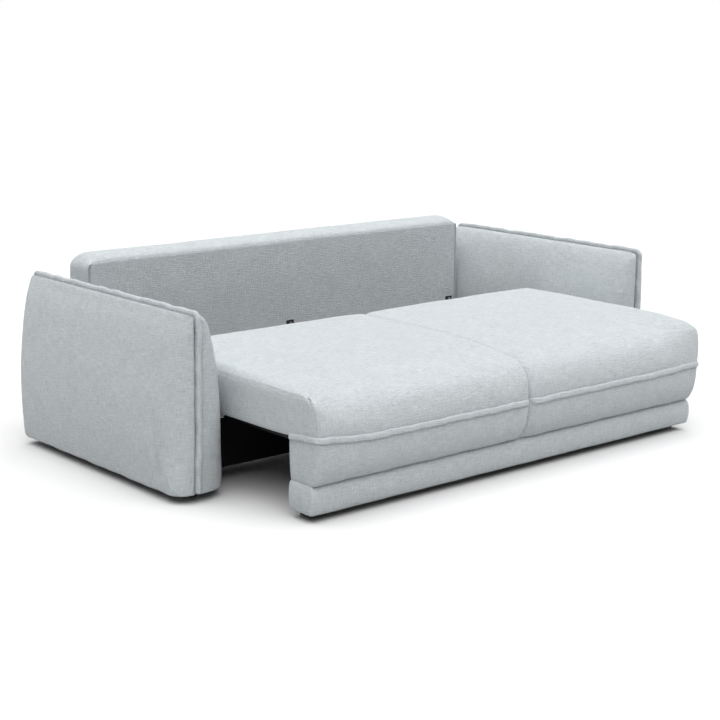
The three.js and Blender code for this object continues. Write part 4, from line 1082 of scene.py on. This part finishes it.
def backrest_cover(name):
    """The backrest's padding: a block with a rolled top that falls away at both ends, a pocket for its frame from
    behind, and a seam pressed in along the front edge of each end."""
    x1 = back_high.x
    y0, y1 = back_low.y, back_high.y
    z0 = back_low.z
    pocket_x, pocket_z = back_frame_high.x + 0.001, back_frame_high.z + 0.001
    a_lines = lines(2 * x1, 0.015, fine=(0, x1 - pocket_x, x1 + pocket_x, 2 * x1), fine_step=0.003, reach=0.021)
    b_lines = lines(y1 - y0, 0.009, fine=(0, y1 - y0), fine_step=0.003, reach=0.009)
    pocket_share = (pocket_z - z0) / (BACK_SHOULDERS[1] - z0)
    c_lines = lines(1, 0.021, fine=(pocket_share, 1), fine_step=0.005, reach=0.03)
    (a, b, c), faces = block_skin(a_lines, b_lines, c_lines)
    b_share = b / (y1 - y0)
    shoulder = BACK_SHOULDERS[0] + (BACK_SHOULDERS[1] - BACK_SHOULDERS[0]) * b_share
    z = z0 + c * (shoulder - z0)
    draw_in = np.interp(shoulder - z, *zip(*BACK_END_ROWS))
    half = x1 - draw_in
    x = (a / x1 - 1) * half
    in_pocket = (np.abs(a - x1) <= pocket_x + 1e-6) & (z <= pocket_z)
    y_rear = np.where(in_pocket, back_frame_low.y - CLEAR, y1)
    y = y0 + b_share * (y_rear - y0)
    corners = (BACK_CORNERS[0], BACK_CORNERS[0], BACK_CORNERS[1], BACK_CORNERS[1])
    x, y = round_corners(x, y, (-half, half), (y0, y1), corners)
    end = x1 - np.abs(a - x1)
    crown_curve = smooth_path(BACK_CROWN_SHARES, 60)
    crown_height = back_high.z + BACK_CROWN_PROUD - BACK_SHOULDERS[0]
    crown = np.interp(b_share, crown_curve[:, 0], crown_curve[:, 1]) * crown_height
    wave = 0.0012 * np.sin(x * 9.1) * np.sin(x * 3.7 + 1)
    z = np.where(c > 1 - 1e-9, z + (crown + wave) * swell(end, BACK_END_REACH, 2.4), z)
    seam = groove(end - BACK_SEAM_PLACE, BACK_SEAM_WIDTH) * (b_share < 0.02) * ease((shoulder - z) / 0.015)
    y = y + BACK_SEAM_DEPTH * seam
    front = b_share < 1e-6
    y = np.where(front, y + 0.0016 * unevenness(x, z, 0 * x, 0.3, 0.7) * swell(end, 0.1) * swell(1 - c, 0.1), y)
    points = np.stack([x, y, z], 1)
    weave = flat_weave(points, faces, {"a": (1, 2), "b": (0, 2), "c": (0, 1)})
    weave["c1"][..., 1] = arc_places(points, faces["c1"], 1) + BACK_SHOULDERS[0]
    return skin_piece(name, points, faces, weave)


PANEL_GAP = 0.002
PANEL_EDGE = 0.009
PANEL_DROP = 0.005
PANEL_PILLOW = 0.0018


def rear_panel(name):
    """The cloth-covered board behind the backrest: a thin block whose rear face drops off along its edges by the
    square of the share left to the edge, and swells a little between them."""
    x1 = back_frame_high.x - PANEL_GAP
    y0, y1 = panel_low.y, panel_high.y
    z0, z1 = panel_low.z, back_frame_high.z - PANEL_GAP
    a_lines = lines(2 * x1, 0.03, fine=(0, 2 * x1), fine_step=0.003, reach=0.012)
    c_lines = lines(z1 - z0, 0.03, fine=(0, z1 - z0), fine_step=0.003, reach=0.012)
    (a, b, c), faces = block_skin(a_lines, np.array([0.0, 0.5, 1.0]), c_lines)
    edge = np.minimum(np.minimum(a, 2 * x1 - a), np.minimum(c, z1 - z0 - c))
    drop = PANEL_DROP * np.clip(1 - edge / PANEL_EDGE, 0, 1) ** 2
    pillow = PANEL_PILLOW * swell(edge, 0.2) * (1 + 0.5 * unevenness(a, c, 0 * a, 0.4, 4.2))
    y = y0 + b * (y1 - y0 - drop + pillow)
    points = np.stack([a - x1, y, z0 + c], 1)
    return skin_piece(name, points, faces, flat_weave(points, faces, {"a": (1, 2), "b": (0, 2), "c": (0, 1)}))


# Cloths under the seat

COVER_SAG = 0.003
COVER_BAYS = 8


def dust_cover(name):
    """The lining stapled under the seat: a thin sheet that sags between the deck's joists by a squared sine."""
    width, length = cover_high.x - cover_low.x, cover_high.y - cover_low.y
    (a, b, c), faces = block_skin(lines(width, 0.02), lines(length, 0.02), np.array([0.0, 1.0]))
    sag = COVER_SAG * np.sin(math.pi * COVER_BAYS * a / width) ** 2 * (1 - (2 * b / length - 1) ** 4)
    z = cover_low.z + c * (cover_high.z - cover_low.z) - sag
    points = np.stack([cover_low.x + a, cover_low.y + b, z], 1)
    piece = skin_piece(name, points, faces, flat_weave(points, faces, {"a": (1, 2), "b": (0, 2), "c": (0, 1)}))
    finish_lining(piece, "seat_dust_cover")


STRAP_WIDTH = 0.055
STRAP_THICKNESS = 0.002
CROSS_STRAPS = 5
LONG_STRAPS = 2


def webbing(name):
    """The elastic straps over the deck: thin bands with rounded edges, five across and two along on top of them.
    A band's surface lies lower towards its edges by the fourth power of the way out from its middle line."""
    spans = (webbing_high.x - webbing_low.x, webbing_high.y - webbing_low.y)
    points, faces, weave = [], {}, {}
    straps = [(0, 1, (k + 0.5) / CROSS_STRAPS, webbing_low.z) for k in range(CROSS_STRAPS)]
    straps += [(1, 0, (k + 0.5) / LONG_STRAPS, webbing_high.z - STRAP_THICKNESS) for k in range(LONG_STRAPS)]
    total = 0
    for number, (long_way, short_way, share, foot) in enumerate(straps):
        (a, b, c), grids = block_skin(lines(spans[long_way], 0.05), lines(STRAP_WIDTH, 0.0055), np.array([0.0, 1.0]))
        middle = share * spans[short_way]
        off = 2 * b / STRAP_WIDTH - 1
        place = [webbing_low.x, webbing_low.y]
        strap = np.zeros((len(a), 3))
        strap[:, long_way] = place[long_way] + a
        strap[:, short_way] = place[short_way] + middle + b - STRAP_WIDTH / 2
        strap[:, 2] = foot + STRAP_THICKNESS * (0.5 + (c - 0.5) * (1 - 0.7 * off**4))
        if long_way:
            grids = {key: grid.T for key, grid in grids.items()}
        points.append(strap)
        for key, grid in grids.items():
            faces[f"{key}_{number}"] = grid + total
            places = np.stack([strap[grid][..., long_way], strap[grid][..., short_way]], -1)
            weave[f"{key}_{number}"] = places + (0, number)
        total += len(a)
    piece = skin_piece(name, np.concatenate(points), faces, weave)
    finish_lining(piece, "seat_webbing")


# Camera, lights and floor

CAMERA_PLACE = (-4.1935, -4.7979, 1.719)
CAMERA_YAW = math.radians(40.14)
CAMERA_PITCH = math.radians(12.52)
CAMERA_ROLL = math.radians(0.27)
CAMERA_LENS_MM = 79.864
CAMERA_SENSOR_MM = 36


def add_camera():
    """The camera looks along its yaw, from +Y towards +X, and down by its pitch, and leans by its roll."""
    forward = np.array([
        math.sin(CAMERA_YAW) * math.cos(CAMERA_PITCH),
        math.cos(CAMERA_YAW) * math.cos(CAMERA_PITCH),
        -math.sin(CAMERA_PITCH),
    ])
    level = np.array([math.cos(CAMERA_YAW), -math.sin(CAMERA_YAW), 0])
    above = np.cross(level, forward)
    right = level * math.cos(CAMERA_ROLL) + above * math.sin(CAMERA_ROLL)
    up = above * math.cos(CAMERA_ROLL) - level * math.sin(CAMERA_ROLL)
    data = bpy.data.cameras.new("camera")
    data.lens = CAMERA_LENS_MM
    data.sensor_width = CAMERA_SENSOR_MM
    camera = bpy.data.objects.new("camera", data)
    camera.matrix_world = Matrix([
        (right[0], up[0], -forward[0], CAMERA_PLACE[0]),
        (right[1], up[1], -forward[1], CAMERA_PLACE[1]),
        (right[2], up[2], -forward[2], CAMERA_PLACE[2]),
        (0, 0, 0, 1),
    ])
    scene.collection.objects.link(camera)
    scene.camera = camera


LIGHT_STRENGTH = 4.05
LIGHT_SPREAD = math.radians(94)
LIGHT_LEAN = (math.radians(11), math.radians(-2.5))
WORLD_STRENGTH = 0.25
FLOOR_PALE = 0.52
FLOOR_SEEN = 0.75
FLOOR_HALF = 400


def seen_share(tree):
    """1 for rays that come straight from the camera or by way of a mirror or glass, else 0."""
    path = tree.nodes.new("ShaderNodeLightPath")
    first = tree.nodes.new("ShaderNodeMath")
    first.operation = "MAXIMUM"
    tree.links.new(path.outputs["Is Camera Ray"], first.inputs[0])
    tree.links.new(path.outputs["Is Glossy Ray"], first.inputs[1])
    both = tree.nodes.new("ShaderNodeMath")
    both.operation = "MAXIMUM"
    tree.links.new(first.outputs[0], both.inputs[0])
    tree.links.new(path.outputs["Is Transmission Ray"], both.inputs[1])
    return both.outputs[0]


def add_light():
    """One broad soft light from above, a little from the front and the left, and a weak white world."""
    data = bpy.data.lights.new("overhead", "SUN")
    data.energy = LIGHT_STRENGTH
    data.angle = LIGHT_SPREAD
    lamp = bpy.data.objects.new("overhead", data)
    lamp.rotation_euler = (LIGHT_LEAN[0], LIGHT_LEAN[1], 0)
    scene.collection.objects.link(lamp)
    world = bpy.data.worlds.new("studio")
    world.use_nodes = True
    scene.world = world
    tree = world.node_tree
    strength = tree.nodes.new("ShaderNodeMapRange")
    strength.inputs["To Min"].default_value = WORLD_STRENGTH
    strength.inputs["To Max"].default_value = 1.0
    tree.links.new(seen_share(tree), strength.inputs["Value"])
    tree.links.new(strength.outputs[0], tree.nodes["Background"].inputs["Strength"])
    tree.nodes["Background"].inputs["Color"].default_value = (1, 1, 1, 1)


def add_floor():
    """A plain pale floor, seen paler than it lights."""
    corners = np.array([[-1, -1, 0], [1, -1, 0], [1, 1, 0], [-1, 1, 0]]) * FLOOR_HALF
    mesh = bpy.data.meshes.new("floor")
    mesh.from_pydata(corners.tolist(), [], [(0, 1, 2, 3)])
    floor = bpy.data.objects.new("floor", mesh)
    scene.collection.objects.link(floor)
    material = bpy.data.materials.new("pale_floor")
    material.use_nodes = True
    tree = material.node_tree
    tree.nodes.remove(tree.nodes["Principled BSDF"])
    surface = tree.nodes.new("ShaderNodeBsdfDiffuse")
    colour = tree.nodes.new("ShaderNodeMix")
    colour.data_type = "RGBA"
    colour.inputs[6].default_value = (FLOOR_PALE, FLOOR_PALE, FLOOR_PALE, 1)
    colour.inputs[7].default_value = (FLOOR_SEEN, FLOOR_SEEN, FLOOR_SEEN, 1)
    tree.links.new(seen_share(tree), colour.inputs[0])
    tree.links.new(colour.outputs[2], surface.inputs["Color"])
    tree.links.new(surface.outputs[0], tree.nodes["Material Output"].inputs["Surface"])
    mesh.materials.append(material)


# The solids that stay as they are get their finishes

FINISHES = {
    "dark_steel": STEEL,
    "zinc": ZINC,
    # The black lining slots get the near-black cloth that also paints shade under the seat.
    "black_lining": LINING_AND_SHADE,
    "black_plastic": BLACK_PLASTIC,
    "nylon": NYLON,
    "timber": WOOD_ALONG,
}
GRAIN_ACROSS = (
    "right_side_board", "left_side_board", "centre_joist", "deck_slats", "right_arm_frame", "left_arm_frame",
)


def finish_solids():
    """Puts each finish in the slots of its name, and lays the wood's grain across where the board lies so."""
    for name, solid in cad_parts.items():
        for place in solid.material_slots:
            if place.material.name in FINISHES:
                place.material = WOOD_ACROSS if name in GRAIN_ACROSS else FINISHES[place.material.name]


add_camera()
add_light()
add_floor()
to_finish = [
    *both_sides(seat_cushion, "seat_cushion_cover", SEAT, "seat_cushion", 0.8),
    *both_sides(front_drop, "front_drop", SEAT, "front_pad", 0.85),
    *both_sides(seat_piping, "cushion_piping", SEAT, "seat_piping", 0.9),
    *both_sides(arm_outer_pad, "arm_outer_cover", BASE, "arm_outer_pad", 0.9),
    *both_sides(arm_inner_pad, "arm_inner_cover", BASE, "arm_inner_pad", 0.9),
    *both_sides(arm_welt, "arm_flange", BASE, "arm_welt", 0.95),
    (plinth_cover("plinth_cover"), SEAT, ["plinth_pad"], 0.95),
    (backrest_cover("backrest_cover"), BASE, ["backrest_pad"], 0.95),
    (rear_panel("backrest_rear_cover"), BASE, ["backrest_rear_panel"], 1.0),
]
puff()
for cover in to_finish:
    finish_cover(*cover)
arm_stitches("right_arm_stitches", 1)
arm_stitches("left_arm_stitches", -1)
dust_cover("seat_lining")
webbing("seat_straps")
finish_solids()
scene.view_settings.view_transform = "Standard"
